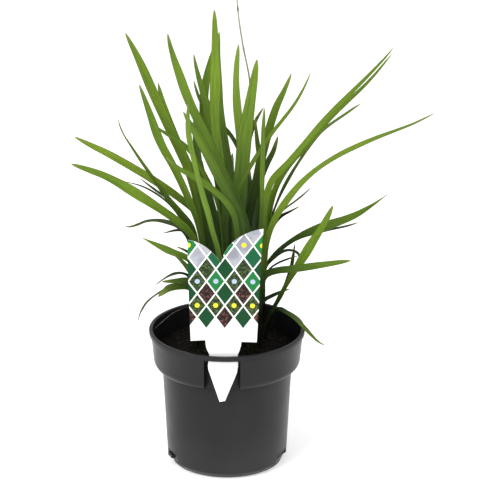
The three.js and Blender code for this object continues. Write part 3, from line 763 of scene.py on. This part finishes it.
slot_cut = carve(
    ring("slot_cut", SLOT_RADII, SLOT_FLOOR, SLOT_TOP),
    "INTERSECT",
    block("slot_sides", (SLOT_LEFT, -FAR, 0), (SLOT_RIGHT, 0, HIGH)),
)
bay = carve(
    ring("bay", BAY_RADII, BAY_FLOOR, BAY_TOP),
    "INTERSECT",
    block("bay_sides", (SLOT_LEFT - BAY_MARGIN, -FAR, 0), (SLOT_RIGHT + BAY_MARGIN, 0, HIGH)),
)
carve(pot, "DIFFERENCE", slot_cut)
carve(pot, "UNION", bay)
print("pot after the slot:", len(pot.data.polygons), "faces")

# %% Cheeks of the slot
CHEEK_LEFTS = (SLOT_LEFT - 1.2, SLOT_RIGHT - 0.3)
CHEEK_WIDTH = 1.5
CHEEK_FOOT, CHEEK_TOP = 85.0, 113.7
INSIDE_COLLAR = [
    (57.3, 87.6), (57.6, 88.6), *under_collar(57.7, 65.4)[1:],
    (67.2, 118.6), (57.3, 118.6), (57.3, 87.6),
]

for left in CHEEK_LEFTS:
    cheek = block("cheek", (left, -FAR, CHEEK_FOOT), (left + CHEEK_WIDTH, 0, CHEEK_TOP))
    inside_collar = make_piece("inside_collar", *turn(INSIDE_COLLAR), [])
    carve(pot, "UNION", carve(cheek, "INTERSECT", inside_collar))
print("pot after the cheeks:", len(pot.data.polygons), "faces")

# %% Drain recesses
RECESS_ANGLES = (-22.5, 22.5, 157.5, 202.5)
RECESS_FOOT, RECESS_TOP = -1.0, 11.5
HALF_BELOW, HALF_ABOVE = 18.5, 9.5  # half the width of a recess
WEDGE_RADII = (30, 75)
PLATE_MARGIN = 1.5  # how far the closing plate reaches past the recess
SHARP_EDGE = 32  # in degrees
SLOPE = [(50, -1), (63, -1), (63, 11.8), (54.4, 11.8), (50, 0), (50, -1)]
PLATE = [(48.2, 0), (50, 0), (54.4, 11.8), (54.1, 13.3), (52.9, 13.3), (48.2, 3), (48.2, 0)]
DRAIN_LOW, DRAIN_HIGH = (47, -4.5, 7.4), (56, 4.5, 10.6)


def wedge(margin, angle):
    """A block through the wall at the foot, wide below and narrow above."""
    half = {RECESS_FOOT: HALF_BELOW + margin, RECESS_TOP + margin: HALF_ABOVE + margin}
    corners = [(x, y * half[z], z) for z in half for y in (-1, 1) for x in WEDGE_RADII]
    return box_piece("wedge", corners, angle)


def turned_part(outline, margin, angle):
    """The part of a turned outline that lies within the wedge."""
    return carve(make_piece("turned_part", *turn(outline), []), "INTERSECT", wedge(margin, angle))


for angle in RECESS_ANGLES:
    carve(pot, "DIFFERENCE", turned_part(SLOPE, 0, angle))
    carve(pot, "UNION", turned_part(PLATE, PLATE_MARGIN, angle))
    carve(pot, "DIFFERENCE", block("drain", DRAIN_LOW, DRAIN_HIGH, angle))
pot.data.shade_smooth()
pot.data.set_sharp_from_angle(angle=math.radians(SHARP_EDGE))
print("finished pot:", len(pot.data.polygons), "faces")

# %% [markdown]
# Moulded plastic of this kind is charcoal, not black, with a satin skin that turns pale where it is
# seen at a grazing angle. Handling and a little dust make it patchy, so the roughness wanders and
# the foot is a touch lighter.

# %% Pot plastic
CHARCOALS = (0.013, 0.013, 0.0145), (0.019, 0.019, 0.0205)
DUST = (0.060, 0.058, 0.054)


def charcoal_plastic():
    """Charcoal in two near shades, with a little dust at the foot and a wandering gloss."""
    material, tree, shader = new_material("charcoal_plastic")
    patches = grain(tree, 14.0, 4.0)
    height = tree.nodes.new("ShaderNodeSeparateXYZ")
    tree.links.new(tree.nodes.new("ShaderNodeTexCoord").outputs["Object"], height.inputs[0])
    colour = blend(tree, span(tree, patches, 0.3, 0.7), *CHARCOALS)
    dust = calc(tree, "MULTIPLY", span(tree, height.outputs[2], 0.0, 0.05, 0.35, 0.0), patches)
    colour = blend(tree, dust, colour, DUST)
    tree.links.new(colour, shader.inputs["Base Color"])
    rough = span(tree, grain(tree, 45.0, 5.0), 0.3, 0.7, 0.29, 0.38)
    tree.links.new(rough, shader.inputs["Roughness"])
    relief(tree, shader, grain(tree, 900.0, 3.0), 0.00003)
    shader.inputs["Specular IOR Level"].default_value = 0.18
    return material


pot.data.materials.append(charcoal_plastic())
stand_in_for(pot, "pot_plastic", "pot")
print("pot box:", [round(v / MM) for v in pot.dimensions])

# %% [markdown]
# ## The potting mix
# Potting mix is peat, composted bark and a little grit, watered until it is almost black. Its top is
# lumpy, so a disc of many small faces is raised by noise: broad lumps, then crumbs. Loose bits of
# bark and grit lie on it as real geometry, because a bump alone looks flat from the side.

# %% Height and reach of the mix
LUMP_SIZE, CRUMB_SIZE, FINE_SIZE = 17, 2.6, 0.9  # across, in millimetres
LUMP_RISE, CRUMB_DIP, FINE_RISE = 1.3, 1.9, 0.3  # up or down, in millimetres
EDGE_DIP = 1.2  # how far the mix has settled at the wall
DIP_START, DIP_END = 48, 63  # it sinks between these distances from the axis
RAISED = 0.1  # the whole top, in millimetres
MIX_EDGE = 104  # the level at which its top meets the wall
BAY_START, BAY_END = -112.5, -76.0  # in degrees
BAY_LEVEL, BAY_REACH = 84, 56.3
WALL_LEVELS = [3.9, 8, 14, 86, 89.5, 97, 107]
WALL_REACHES = [46.3, 49.4, 52, 56.2, 58.8, 63.6, 64.6]


def mix_height(x, y):
    """Height of the mix in millimetres at a place on its top."""
    lumps = noise.fractal(Vector((x / LUMP_SIZE, y / LUMP_SIZE, 3.1)), 1.0, 2.0, 3)
    crumbs = noise.voronoi(Vector((x / CRUMB_SIZE, y / CRUMB_SIZE, 7.7)))[0][0]
    fine = noise.noise(Vector((x / FINE_SIZE, y / FINE_SIZE, 1.3)))
    settled = -EDGE_DIP * ease(DIP_START, DIP_END, math.hypot(x, y))
    return MIX_TOP / MM + RAISED + LUMP_RISE * lumps - CRUMB_DIP * crumbs + FINE_RISE * fine + settled


def mix_reach(angle, level):
    """How far out the mix goes: to the pot's wall, or to the bay's wall at the tag slot."""
    at = (angle + 180) % 360 - 180
    if BAY_START < at < BAY_END and level > BAY_LEVEL:
        return BAY_REACH
    return float(np.interp(level, WALL_LEVELS, WALL_REACHES))


print("the mix reaches", mix_reach(0, MIX_EDGE), "mm, and", mix_reach(-90, MIX_EDGE), "at the slot")

# %% Body of the mix
MIX_COLUMNS = 240
MIX_RINGS = 70
MIX_LEVELS = (3.9, 8, 14, 50, 83.5, 84.5, 87, 90, 97, 102)


def make_mix():
    """The mix as rows of points: up the wall, then inwards over the lumpy top."""
    angles = [360 * i / MIX_COLUMNS for i in range(MIX_COLUMNS)]
    points, rows = [], []
    for level in MIX_LEVELS:
        rows.append([len(points) + i for i in range(MIX_COLUMNS)])
        points += [(*around(mix_reach(angle, level), angle), level) for angle in angles]
    for step in range(MIX_RINGS, 0, -1):
        rows.append([len(points) + i for i in range(MIX_COLUMNS)])
        for angle in angles:
            x, y = around(mix_reach(angle, MIX_EDGE) * step / MIX_RINGS, angle)
            points.append((x, y, mix_height(x, y)))
    return points, [*join_rows(rows), rows[-1], rows[0][::-1]]


def damp_mix():
    """Nearly black peat with browner lumps and hardly any shine."""
    material, tree, shader = new_material("damp_mix", 0.9)
    crumbs = grain(tree, 420.0, 4.0)
    lumps = grain(tree, 70.0, 4.0)
    peat, wet_peat = (0.008, 0.0062, 0.0047), (0.002, 0.0017, 0.0013)
    colour = blend(tree, span(tree, crumbs, 0.35, 0.7), wet_peat, peat)
    colour = blend(tree, span(tree, lumps, 0.5, 0.75, 0.0, 0.5), colour, (0.014, 0.010, 0.007))
    tree.links.new(colour, shader.inputs["Base Color"])
    shader.inputs["Specular IOR Level"].default_value = 0.1
    relief(tree, shader, crumbs, 0.0009)
    return material


mix = make_piece("potting_mix_body", *make_mix(), [damp_mix()])
stand_in_for(mix, "potting_mix", "potting_mix")
print("mix:", len(mix.data.polygons), "faces")

# %% Loose bits
SPREAD = 61  # how far out the bits lie, in millimetres
WALL_GAP = 3  # how near to the wall they come
BREADTHS, HEIGHTS = (0.3, 0.7), (0.15, 0.4)  # of a bit, as shares of its length
TIPPED = 0.5  # at most, in radians
CORNER_SHIFTS = (0.55, 1.1)  # how far out a corner is, as a share of a plain box's


def bits(name, count, sizes, materials, seed):
    """Small angular lumps lying on the mix, all in one mesh."""
    dice = random.Random(seed)
    corners = [(x, y, z) for z in (-1, 1) for y in (-1, 1) for x in (-1, 1)]
    points, faces = [], []
    for _ in range(count):
        reach = SPREAD * math.sqrt(dice.random())
        angle = dice.uniform(0, 360)
        farthest = mix_reach(angle, MIX_EDGE) - WALL_GAP
        if reach > farthest:
            reach = farthest - 1
        x, y = around(reach, angle)
        size = dice.uniform(*sizes)
        scale = Matrix.Diagonal((size, size * dice.uniform(*BREADTHS), size * dice.uniform(*HEIGHTS)))
        turned = Matrix.Rotation(dice.uniform(0, ONE_TURN), 3, "Z")
        tipped = Matrix.Rotation(dice.uniform(-TIPPED, TIPPED), 3, "X")
        spin = turned @ tipped
        centre = Vector((x, y, mix_height(x, y) + 0.2 * size))
        base = len(points)
        for corner in corners:
            jitter = Vector([c * dice.uniform(*CORNER_SHIFTS) for c in corner])
            points.append(centre + spin @ (scale @ jitter))
        faces += [tuple(base + v for v in face) for face in BOX_FACES]
    piece = make_piece(name, points, faces, materials, smooth_angle=20)
    soften = piece.modifiers.new("soften", "SUBSURF")
    soften.levels = soften.render_levels = 1
    return stand_in_for(piece, "potting_mix")


print("bits lie up to", SPREAD, "mm from the axis")

# %% Skins of the bits


def bark():
    """Dark bark with fibres drawn out one way."""
    material, tree, shader = new_material("bark_bits", 0.85)
    fibres = grain(tree, 260.0, 4.0, stretch=(1, 1, 0.3))
    colour = blend(tree, span(tree, fibres, 0.35, 0.7), (0.005, 0.004, 0.003), (0.030, 0.022, 0.015))
    tree.links.new(colour, shader.inputs["Base Color"])
    shader.inputs["Specular IOR Level"].default_value = 0.2
    relief(tree, shader, fibres, 0.0004)
    return material


def grit():
    """Pale speckled stone."""
    material, tree, shader = new_material("pale_grit", 0.8)
    specks = grain(tree, 500.0, 3.0)
    colour = blend(tree, span(tree, specks, 0.35, 0.7), (0.07, 0.065, 0.055), (0.16, 0.15, 0.13))
    tree.links.new(colour, shader.inputs["Base Color"])
    relief(tree, shader, specks, 0.0003)
    return material


bit_skins = {"bark": bark(), "grit": grit()}
print("made", " and ".join(skin.name for skin in bit_skins.values()))

# %% Bark and grit
BARK_BITS, BARK_SIZES = 520, (0.7, 2.6)
GRIT_BITS, GRIT_SIZES = 46, (0.35, 0.8)

bits("bark_on_the_mix", BARK_BITS, BARK_SIZES, [bit_skins["bark"]], seed=11)
bits("grit_on_the_mix", GRIT_BITS, GRIT_SIZES, [bit_skins["grit"]], seed=12)
print("laid", BARK_BITS + GRIT_BITS, "bits on the mix")

# %% [markdown]
# ## The plant label
# The label is die-cut from one sheet of white plastic: two lobes with a notch between them, a panel,
# a neck, and a spike that goes behind the lip and out through the tag slot. Its print is a plain
# harlequin pattern: staggered lozenges in greens, brown and mottled grey with white lines between
# them, and small yellow and pale blue dots. Print has crisp edges, so the pattern is drawn as
# outlines and the card is triangulated along them. Each area then takes its own ink.

# %% Card outline
CARD_FOOT = Vector((-2.4, -64.9, 79.5))
CARD_LEAN = math.radians(1.5)
CARD_TILT = math.radians(0.6)
CARD_THICKNESS = 0.5


def bezier(start, first, second, end, steps=12):
    """Points after the start on a curve with two handles."""
    corners = (start, first, second, end)
    points = []
    for i in range(1, steps + 1):
        t = i / steps
        weights = ((1 - t) ** 3, 3 * t * (1 - t) ** 2, 3 * t * t * (1 - t), t**3)
        points.append(tuple(sum(w * p[k] for w, p in zip(weights, corners)) for k in (0, 1)))
    return points


# From the spike up the right side, over the two lobes, and down the left side.
CARD = [
    (1, 1.8), *bezier((1, 1.8), (3.4, 9), (9, 22), (11.2, 29)),
    (12, 34.6), (12, 39.3), (11.6, 45.4), (13.1, 49.1),
    (14.2, 53.3), (14.8, 57.5), (28.1, 57.2), (29.7, 95.9), (30.4, 128.2), (32.6, 161.4),
    *bezier((32.6, 161.4), (20, 159), (-1, 149.5), (-3.5, 129.1)),
    *bezier((-3.5, 129.1), (-7.5, 135.5), (-18, 148.5), (-32.2, 150.8)), (-32.5, 137.4), (-31.2, 95.9),
    (-29.5, 58), (-16.8, 58.8), (-16.2, 53.3), (-15.2, 49.6), (-13.1, 45.4), (-13.9, 39.3), (-14.3, 34.6),
    (-13.9, 30.9), *bezier((-13.9, 30.9), (-11.5, 24), (-6.5, 9), (-3.9, 0.9)),
]
print("the card's outline has", len(CARD), "points")


# %% Shapes of the print


def lozenge(x, z, half_width, half_height):
    """A diamond about a point."""
    return [(x, z - half_height), (x + half_width, z), (x, z + half_height), (x - half_width, z)]


def disc(centre, radius, steps=28):
    """A round dot."""
    angles = [2 * math.pi * i / steps for i in range(steps)]
    return [(centre[0] + radius * math.cos(a), centre[1] + radius * math.sin(a)) for a in angles]


print("a dot has", len(disc((0, 0), 1)), "corners")

# %% The print
ROW_STEP = 11.0
COLUMN_STEP = 16.0
FIRST_ROW = 80.0
INKED_SHARE = 0.9  # the rest is left as a white line
COLUMNS = range(-3, 4)
ROW_INKS = [
    ("brown_print", "deep_green_ink"),
    ("moss_print", "moss_print"),
    ("deep_green_ink", "brown_print"),
    ("moss_print", "mid_green_ink"),
    ("deep_green_ink", "moss_print"),
    ("grey_print", "dark_green_ink"),
    ("mid_green_ink", "grey_print"),
    ("grey_print", "grey_print"),
]
DOT_INKS = {1: "yellow_ink", 3: "blue_ink", 6: "yellow_ink"}
DOT_RADIUS = 2.2


def harlequin():
    """Staggered rows of lozenges, bottom to top, with a dot in each lozenge of some rows."""
    areas = []
    for row, inks in enumerate(ROW_INKS):
        height = FIRST_ROW + ROW_STEP * row
        for column in COLUMNS:
            x = COLUMN_STEP * (column + 0.5 * (row % 2))
            shape = lozenge(x, height, INKED_SHARE * COLUMN_STEP / 2, INKED_SHARE * ROW_STEP)
            areas.append((inks[column % 2], shape))
            if row in DOT_INKS:
                areas.append((DOT_INKS[row], disc((x, height), DOT_RADIUS)))
    return areas


PRINT = harlequin()
print("print:", len(PRINT), "areas")


# %% Areas of the card
MESH_STEP = 3.3  # between the points that let the card curl, in millimetres
MESH_COLUMNS, MESH_ROWS = range(-10, 11), range(0, 49)
SAME_POINT = 0.01


def inside(point, outline):
    """Whether a point lies within an outline."""
    x, y = point
    hit = False
    for (xa, ya), (xb, yb) in zip(outline, outline[1:] + outline[:1]):
        if (ya > y) != (yb > y) and x < (xb - xa) * (y - ya) / (yb - ya) + xa:
            hit = not hit
    return hit


def ink_at(point):
    """The topmost ink that covers a point of the card."""
    for ink, outline in reversed(PRINT):
        if inside(point, outline):
            return ink
    return "white_card"


def card_areas():
    """Triangles of the card, cut along the outlines of the print, with an ink for each."""
    spots, edges = [], []
    for outline in [CARD] + [outline for _, outline in PRINT]:
        base = len(spots)
        spots += [Vector(p) for p in outline]
        edges += [(base + i, base + (i + 1) % len(outline)) for i in range(len(outline))]
    spots += [Vector((x * MESH_STEP, z * MESH_STEP)) for x in MESH_COLUMNS for z in MESH_ROWS]
    points, _, faces, *_ = delaunay_2d_cdt(spots, edges, [], 0, SAME_POINT)
    kept, inks = [], []
    for face in faces:
        middle = sum((points[i] for i in face), Vector((0, 0))) / len(face)
        if inside(middle, CARD):
            kept.append(face)
            inks.append(ink_at(middle))
    return points, kept, inks


print("the middle of the first lozenge is", ink_at((0.0, FIRST_ROW)))

# %% Inks


def card_ink(name, colour, second=None, scale=60.0, low=0.4, high=0.6):
    """Ink on white plastic: one colour, or two that wander into each other."""
    material, tree, shader = new_material(name, 0.38)
    speck = grain(tree, scale, 5.0)
    darker = tuple(0.8 * channel for channel in colour)
    tint = blend(tree, span(tree, grain(tree, 700.0, 2.0), 0.3, 0.7, 0.0, 0.12), colour, darker)
    if second:
        tint = blend(tree, span(tree, speck, low, high), tint, second)
    tree.links.new(tint, shader.inputs["Base Color"])
    rough = span(tree, speck, 0.3, 0.7, 0.32, 0.44)
    tree.links.new(rough, shader.inputs["Roughness"])
    shader.inputs["Specular IOR Level"].default_value = 0.18
    return material


INKS = {
    "white_card": card_ink("white_card", (0.92, 0.92, 0.92)),
    "grey_print": card_ink("grey_print", (0.46, 0.47, 0.51), (0.27, 0.28, 0.33), 60.0, 0.40, 0.66),
    "deep_green_ink": card_ink("deep_green_ink", (0.002, 0.058, 0.015)),
    "dark_green_ink": card_ink("dark_green_ink", (0.006, 0.105, 0.040)),
    "mid_green_ink": card_ink("mid_green_ink", (0.012, 0.190, 0.042)),
    "moss_print": card_ink("moss_print", (0.012, 0.026, 0.007), (0.10, 0.16, 0.05), 520.0, 0.42, 0.72),
    "brown_print": card_ink("brown_print", (0.012, 0.006, 0.004), (0.16, 0.07, 0.05), 500.0, 0.46, 0.70),
    "yellow_ink": card_ink("yellow_ink", (0.85, 0.72, 0.04)),
    "blue_ink": card_ink("blue_ink", (0.42, 0.52, 0.78)),
}
print("mixed", len(INKS), "inks")

# %% Card
CURL_FOOT, CURL_TOP = 62, 150  # the card stays flat below and is free above
SIDE_CURL, TOP_CURL = 2.2, 1.6  # in millimetres
HALF_PANEL = 33


def card_place(x, z, out):
    """A point of the card in millimetres, with out measured towards its back."""
    free = float(ease(CURL_FOOT, CURL_TOP, z))
    curl = -SIDE_CURL * free * (x / HALF_PANEL) ** 2 + TOP_CURL * free * free
    spot = Vector((x, curl + out, z))
    spot = Matrix.Rotation(CARD_TILT, 3, "Y") @ Matrix.Rotation(-CARD_LEAN, 3, "X") @ spot
    return spot + CARD_FOOT


def make_card():
    """The card's front in its inks, its white back, and the cut edge between them."""
    flat, faces, inks = card_areas()
    count = len(flat)
    half = CARD_THICKNESS / 2
    points = [card_place(x, z, out) for out in (-half, half) for x, z in flat]
    sides = dict.fromkeys((a, b) for face in faces for a, b in zip(face, face[1:] + face[:1]))
    rim = [(a, b) for a, b in sides if (b, a) not in sides]
    back = [tuple(count + v for v in reversed(face)) for face in faces]
    edge = [(b, a, count + a, count + b) for a, b in rim]
    names = list(INKS)
    ink_of = [names.index(ink) for ink in inks]
    ink_of += [names.index("white_card")] * (len(back) + len(edge))
    all_faces = [*faces, *back, *edge]
    piece = make_piece("plant_label_card", points, all_faces, list(INKS.values()), smooth_angle=40)
    piece.data.polygons.foreach_set("material_index", ink_of)
    return piece


card = make_card()
stand_in_for(card, "label_plastic", "plant_label")
print("label:", len(card.data.polygons), "faces in", len(INKS), "inks")

# %% [markdown]
# ## The flower stem
# One thin stem stands above the leaves. It is grey-green and a little crooked, with a small dry bract
# at each joint, and it ends in a tight cluster of buds. The centre line is read from the CAD stem,
# and the tube, the bracts and the buds are lofted round it.

# %% Line of the stem
LINE_POINTS = 150
FOOT_DEPTH = 2  # the corners this near to the lowest one are the foot


def stem_line():
    """Points along the middle of the CAD stem, and how far along each lies."""
    points, joined = linked_points("flower_stem")
    lowest = min(p[2] for p in points)
    foot = [i for i, p in enumerate(points) if p[2] < lowest + FOOT_DEPTH]
    rings = rings_from(points, joined, foot)
    centres = np.array([ring.mean(axis=0) for ring in rings if len(ring) >= 3])
    knots = distances(centres)
    at = np.linspace(0, knots[-1], LINE_POINTS)
    return through(knots, centres, at), at


line, reached = stem_line()
print("stem length in mm:", round(float(reached[-1])))

# %% Tubes and buds
STEM_SIDES = 12
LEAST_RADIUS = 0.12
CROSSWISE = (0.3, 1.0, 0.1)  # any direction that no tube starts in


def tube(centres, radii, sides=STEM_SIDES):
    """Points and faces of a round tube with a point at its far end."""
    tangents = unit(np.gradient(centres, axis=0))
    normal = unit(np.cross(tangents[0], CROSSWISE))
    points = []
    for centre, tangent, radius in zip(centres, tangents, radii):
        normal = normal - tangent * (normal @ tangent)
        normal = normal / np.linalg.norm(normal)
        second = np.cross(tangent, normal)
        for i in range(sides):
            angle = 2 * math.pi * i / sides
            points.append(centre + radius * (math.cos(angle) * normal + math.sin(angle) * second))
    points.append(centres[-1] + tangents[-1] * radii[-1])
    return points, loft_faces(len(centres), sides, len(points) - 1)


def bud(place, direction, length, width):
    """A closed bud: a short tube that swells and closes to a point."""
    share = np.linspace(0, 1, 12)
    centres = np.array(place) + np.outer(share * length, unit(np.array(direction, dtype=float)))
    radii = width / 2 * np.sin(np.pi * np.clip(share * 0.94 + 0.03, 0, 1)) ** 0.75
    return tube(centres, np.maximum(radii, LEAST_RADIUS), 10)


def gather(parts):
    """Several (points, faces) as one."""
    points, faces = [], []
    for some_points, some_faces in parts:
        base = len(points)
        points += list(some_points)
        faces += [tuple(base + v for v in face) for face in some_faces]
    return points, faces


def point_at(distance):
    """The point of the stem that lies nearest to a distance along it."""
    return line[int(np.argmin(np.abs(reached - distance)))]


print("halfway up the stem is", [round(float(v)) for v in point_at(reached[-1] / 2)])

# %% Stem and bud skins


def olive_stem():
    """Grey-green with streaks along the stem."""
    material, tree, shader = new_material("olive_stem", 0.55)
    streaks = grain(tree, 130.0, 4.0, stretch=(1, 1, 0.08))
    colour = blend(tree, span(tree, streaks, 0.3, 0.7), (0.160, 0.175, 0.100), (0.330, 0.340, 0.230))
    tree.links.new(colour, shader.inputs["Base Color"])
    relief(tree, shader, streaks, 0.0002)
    return material


def bud_skin():
    """Green with a violet blush."""
    material, tree, shader = new_material("bud_skin", 0.5)
    blush = grain(tree, 240.0, 3.0)
    colour = blend(tree, span(tree, blush, 0.35, 0.65), (0.200, 0.215, 0.150), (0.190, 0.150, 0.240))
    tree.links.new(colour, shader.inputs["Base Color"])
    return material


skins = {"stem": olive_stem(), "bud": bud_skin()}
print("made", " and ".join(skin.name for skin in skins.values()))

# %% Stem
JOINTS = (70, 150, 215, 265, 300, 325)  # along the stem, in millimetres
FOOT_RADIUS, TAPER = 0.95, 0.30
JOINT_SWELL, JOINT_SPREAD = 0.22, 1.6

stem_radii = FOOT_RADIUS - TAPER * reached / reached[-1]
for joint in JOINTS:
    stem_radii += JOINT_SWELL * np.exp(-(((reached - joint) / JOINT_SPREAD) ** 2))
stem = make_piece("flower_stem_tube", *tube(line, stem_radii), [skins["stem"]])
stand_in_for(stem, "stem", "flower_stem")
print("stem:", len(stem.data.polygons), "faces")

# %% Buds
BUD_PLACES = np.linspace(-26, -2, 9)  # from the stem's end, in millimetres
BUD_TURN = 2.4  # from one bud to the next, in radians
STALK_RADIUS = 0.3
STALK_LENGTHS, BUD_LENGTHS, BUD_WIDTHS = (2.5, 4.5), (3.0, 4.4), (1.5, 2.1)  # millimetres

dice = random.Random(5)
cluster = []
for number, place in enumerate(BUD_PLACES):
    angle = number * BUD_TURN
    out = np.array([math.cos(angle), math.sin(angle), 1.1])
    joint_point = point_at(reached[-1] + place)
    neck = joint_point + unit(out) * dice.uniform(*STALK_LENGTHS)
    cluster.append(tube(np.linspace(joint_point, neck, 5), np.full(5, STALK_RADIUS), 8))
    length = dice.uniform(*BUD_LENGTHS)
    width = dice.uniform(*BUD_WIDTHS)
    cluster.append(bud(neck - unit(out) * 0.2, out + [0, 0, 0.6], length, width))
buds = make_piece("flower_buds", *gather(cluster), [skins["bud"]])
stand_in_for(buds, "stem")
print("made", len(BUD_PLACES), "buds")

# %% Bracts
LONGEST_BRACT = 9  # millimetres, and one less at each joint
BRACT_TURN = 2.6
BRACT_RADIUS = 0.85
BRACT_LEAN = 0.35  # outwards, for 1 upwards

bracts = []
for number, joint in enumerate(JOINTS):
    angle = number * BRACT_TURN + 0.5
    out = np.array([BRACT_LEAN * math.cos(angle), BRACT_LEAN * math.sin(angle), 1.0])
    share = np.linspace(0, 1, 9)
    size = LONGEST_BRACT - number
    arching = np.outer(share**2 * size * 0.2, [out[0], out[1], 0])
    centres = point_at(joint) + np.outer(share * size, unit(out)) + arching
    bracts.append(tube(centres, BRACT_RADIUS * (1 - share) ** 0.7 + 0.08, 8))
stand_in_for(make_piece("stem_bracts", *gather(bracts), [papery()]), "stem")
print("made", len(bracts), "bracts")

# %% [markdown]
# ## Floor and light
# The photograph was taken in a white studio: light from all around, more from the upper left, and a
# floor that runs to white, as a white table that is also lit from below does. A plain floor with a
# little glow of its own, a white world and two large lamps do the same. The plain "Standard" view keeps
# that white white, where Blender's usual film-like view would make it grey.

# %% Floor
FLOOR_HALF = 4000  # millimetres
FLOOR_DROP = 0.3  # just below the pot's foot
FLOOR_GLOW = 0.3


def pale_floor():
    """White with a little glow of its own."""
    material, tree, shader = new_material("pale_floor", 0.6)
    cloud = grain(tree, 3.0, 2.0)
    colour = blend(tree, cloud, (0.92, 0.92, 0.92), (0.94, 0.94, 0.94))
    tree.links.new(colour, shader.inputs["Base Color"])
    shader.inputs["Emission Color"].default_value = (1, 1, 1, 1)
    shader.inputs["Emission Strength"].default_value = FLOOR_GLOW
    return material


signs = [(-1, -1), (1, -1), (1, 1), (-1, 1)]
corners = [(x * FLOOR_HALF, y * FLOOR_HALF, -FLOOR_DROP) for x, y in signs]
floor = make_piece("floor", corners, [(0, 1, 2, 3)], [pale_floor()])
print("the floor is", round(floor.dimensions.x), "m across")

# %% World and lamps
WORLD_LIGHT = 0.75
LAMP_SIZE = 1.6  # metres
LAMPS = {"key": ((-1.3, -1.2, 2.0), 42), "fill": ((1.6, -0.8, 1.5), 16)}  # place, and power in watts
PLANT_MIDDLE = Vector((0, 0, 0.2))

world = bpy.data.worlds.new("studio")
world.use_nodes = True
world.node_tree.nodes["Background"].inputs["Color"].default_value = (1.0, 1.0, 1.0, 1)
world.node_tree.nodes["Background"].inputs["Strength"].default_value = WORLD_LIGHT
bpy.context.scene.world = world
bpy.context.scene.view_settings.view_transform = "Standard"


def lamp(name, place, power):
    """A square soft lamp that faces the plant."""
    data = bpy.data.lights.new(name, "AREA")
    data.shape = "SQUARE"
    data.size = LAMP_SIZE
    data.energy = power
    stand = bpy.data.objects.new(name, data)
    stand.location = place
    towards = PLANT_MIDDLE - Vector(place)
    stand.rotation_euler = towards.to_track_quat("-Z", "Y").to_euler()
    bpy.context.scene.collection.objects.link(stand)


for name, (place, power) in LAMPS.items():
    lamp(name, place, power)
print("lit by the world and", len(LAMPS), "lamps")
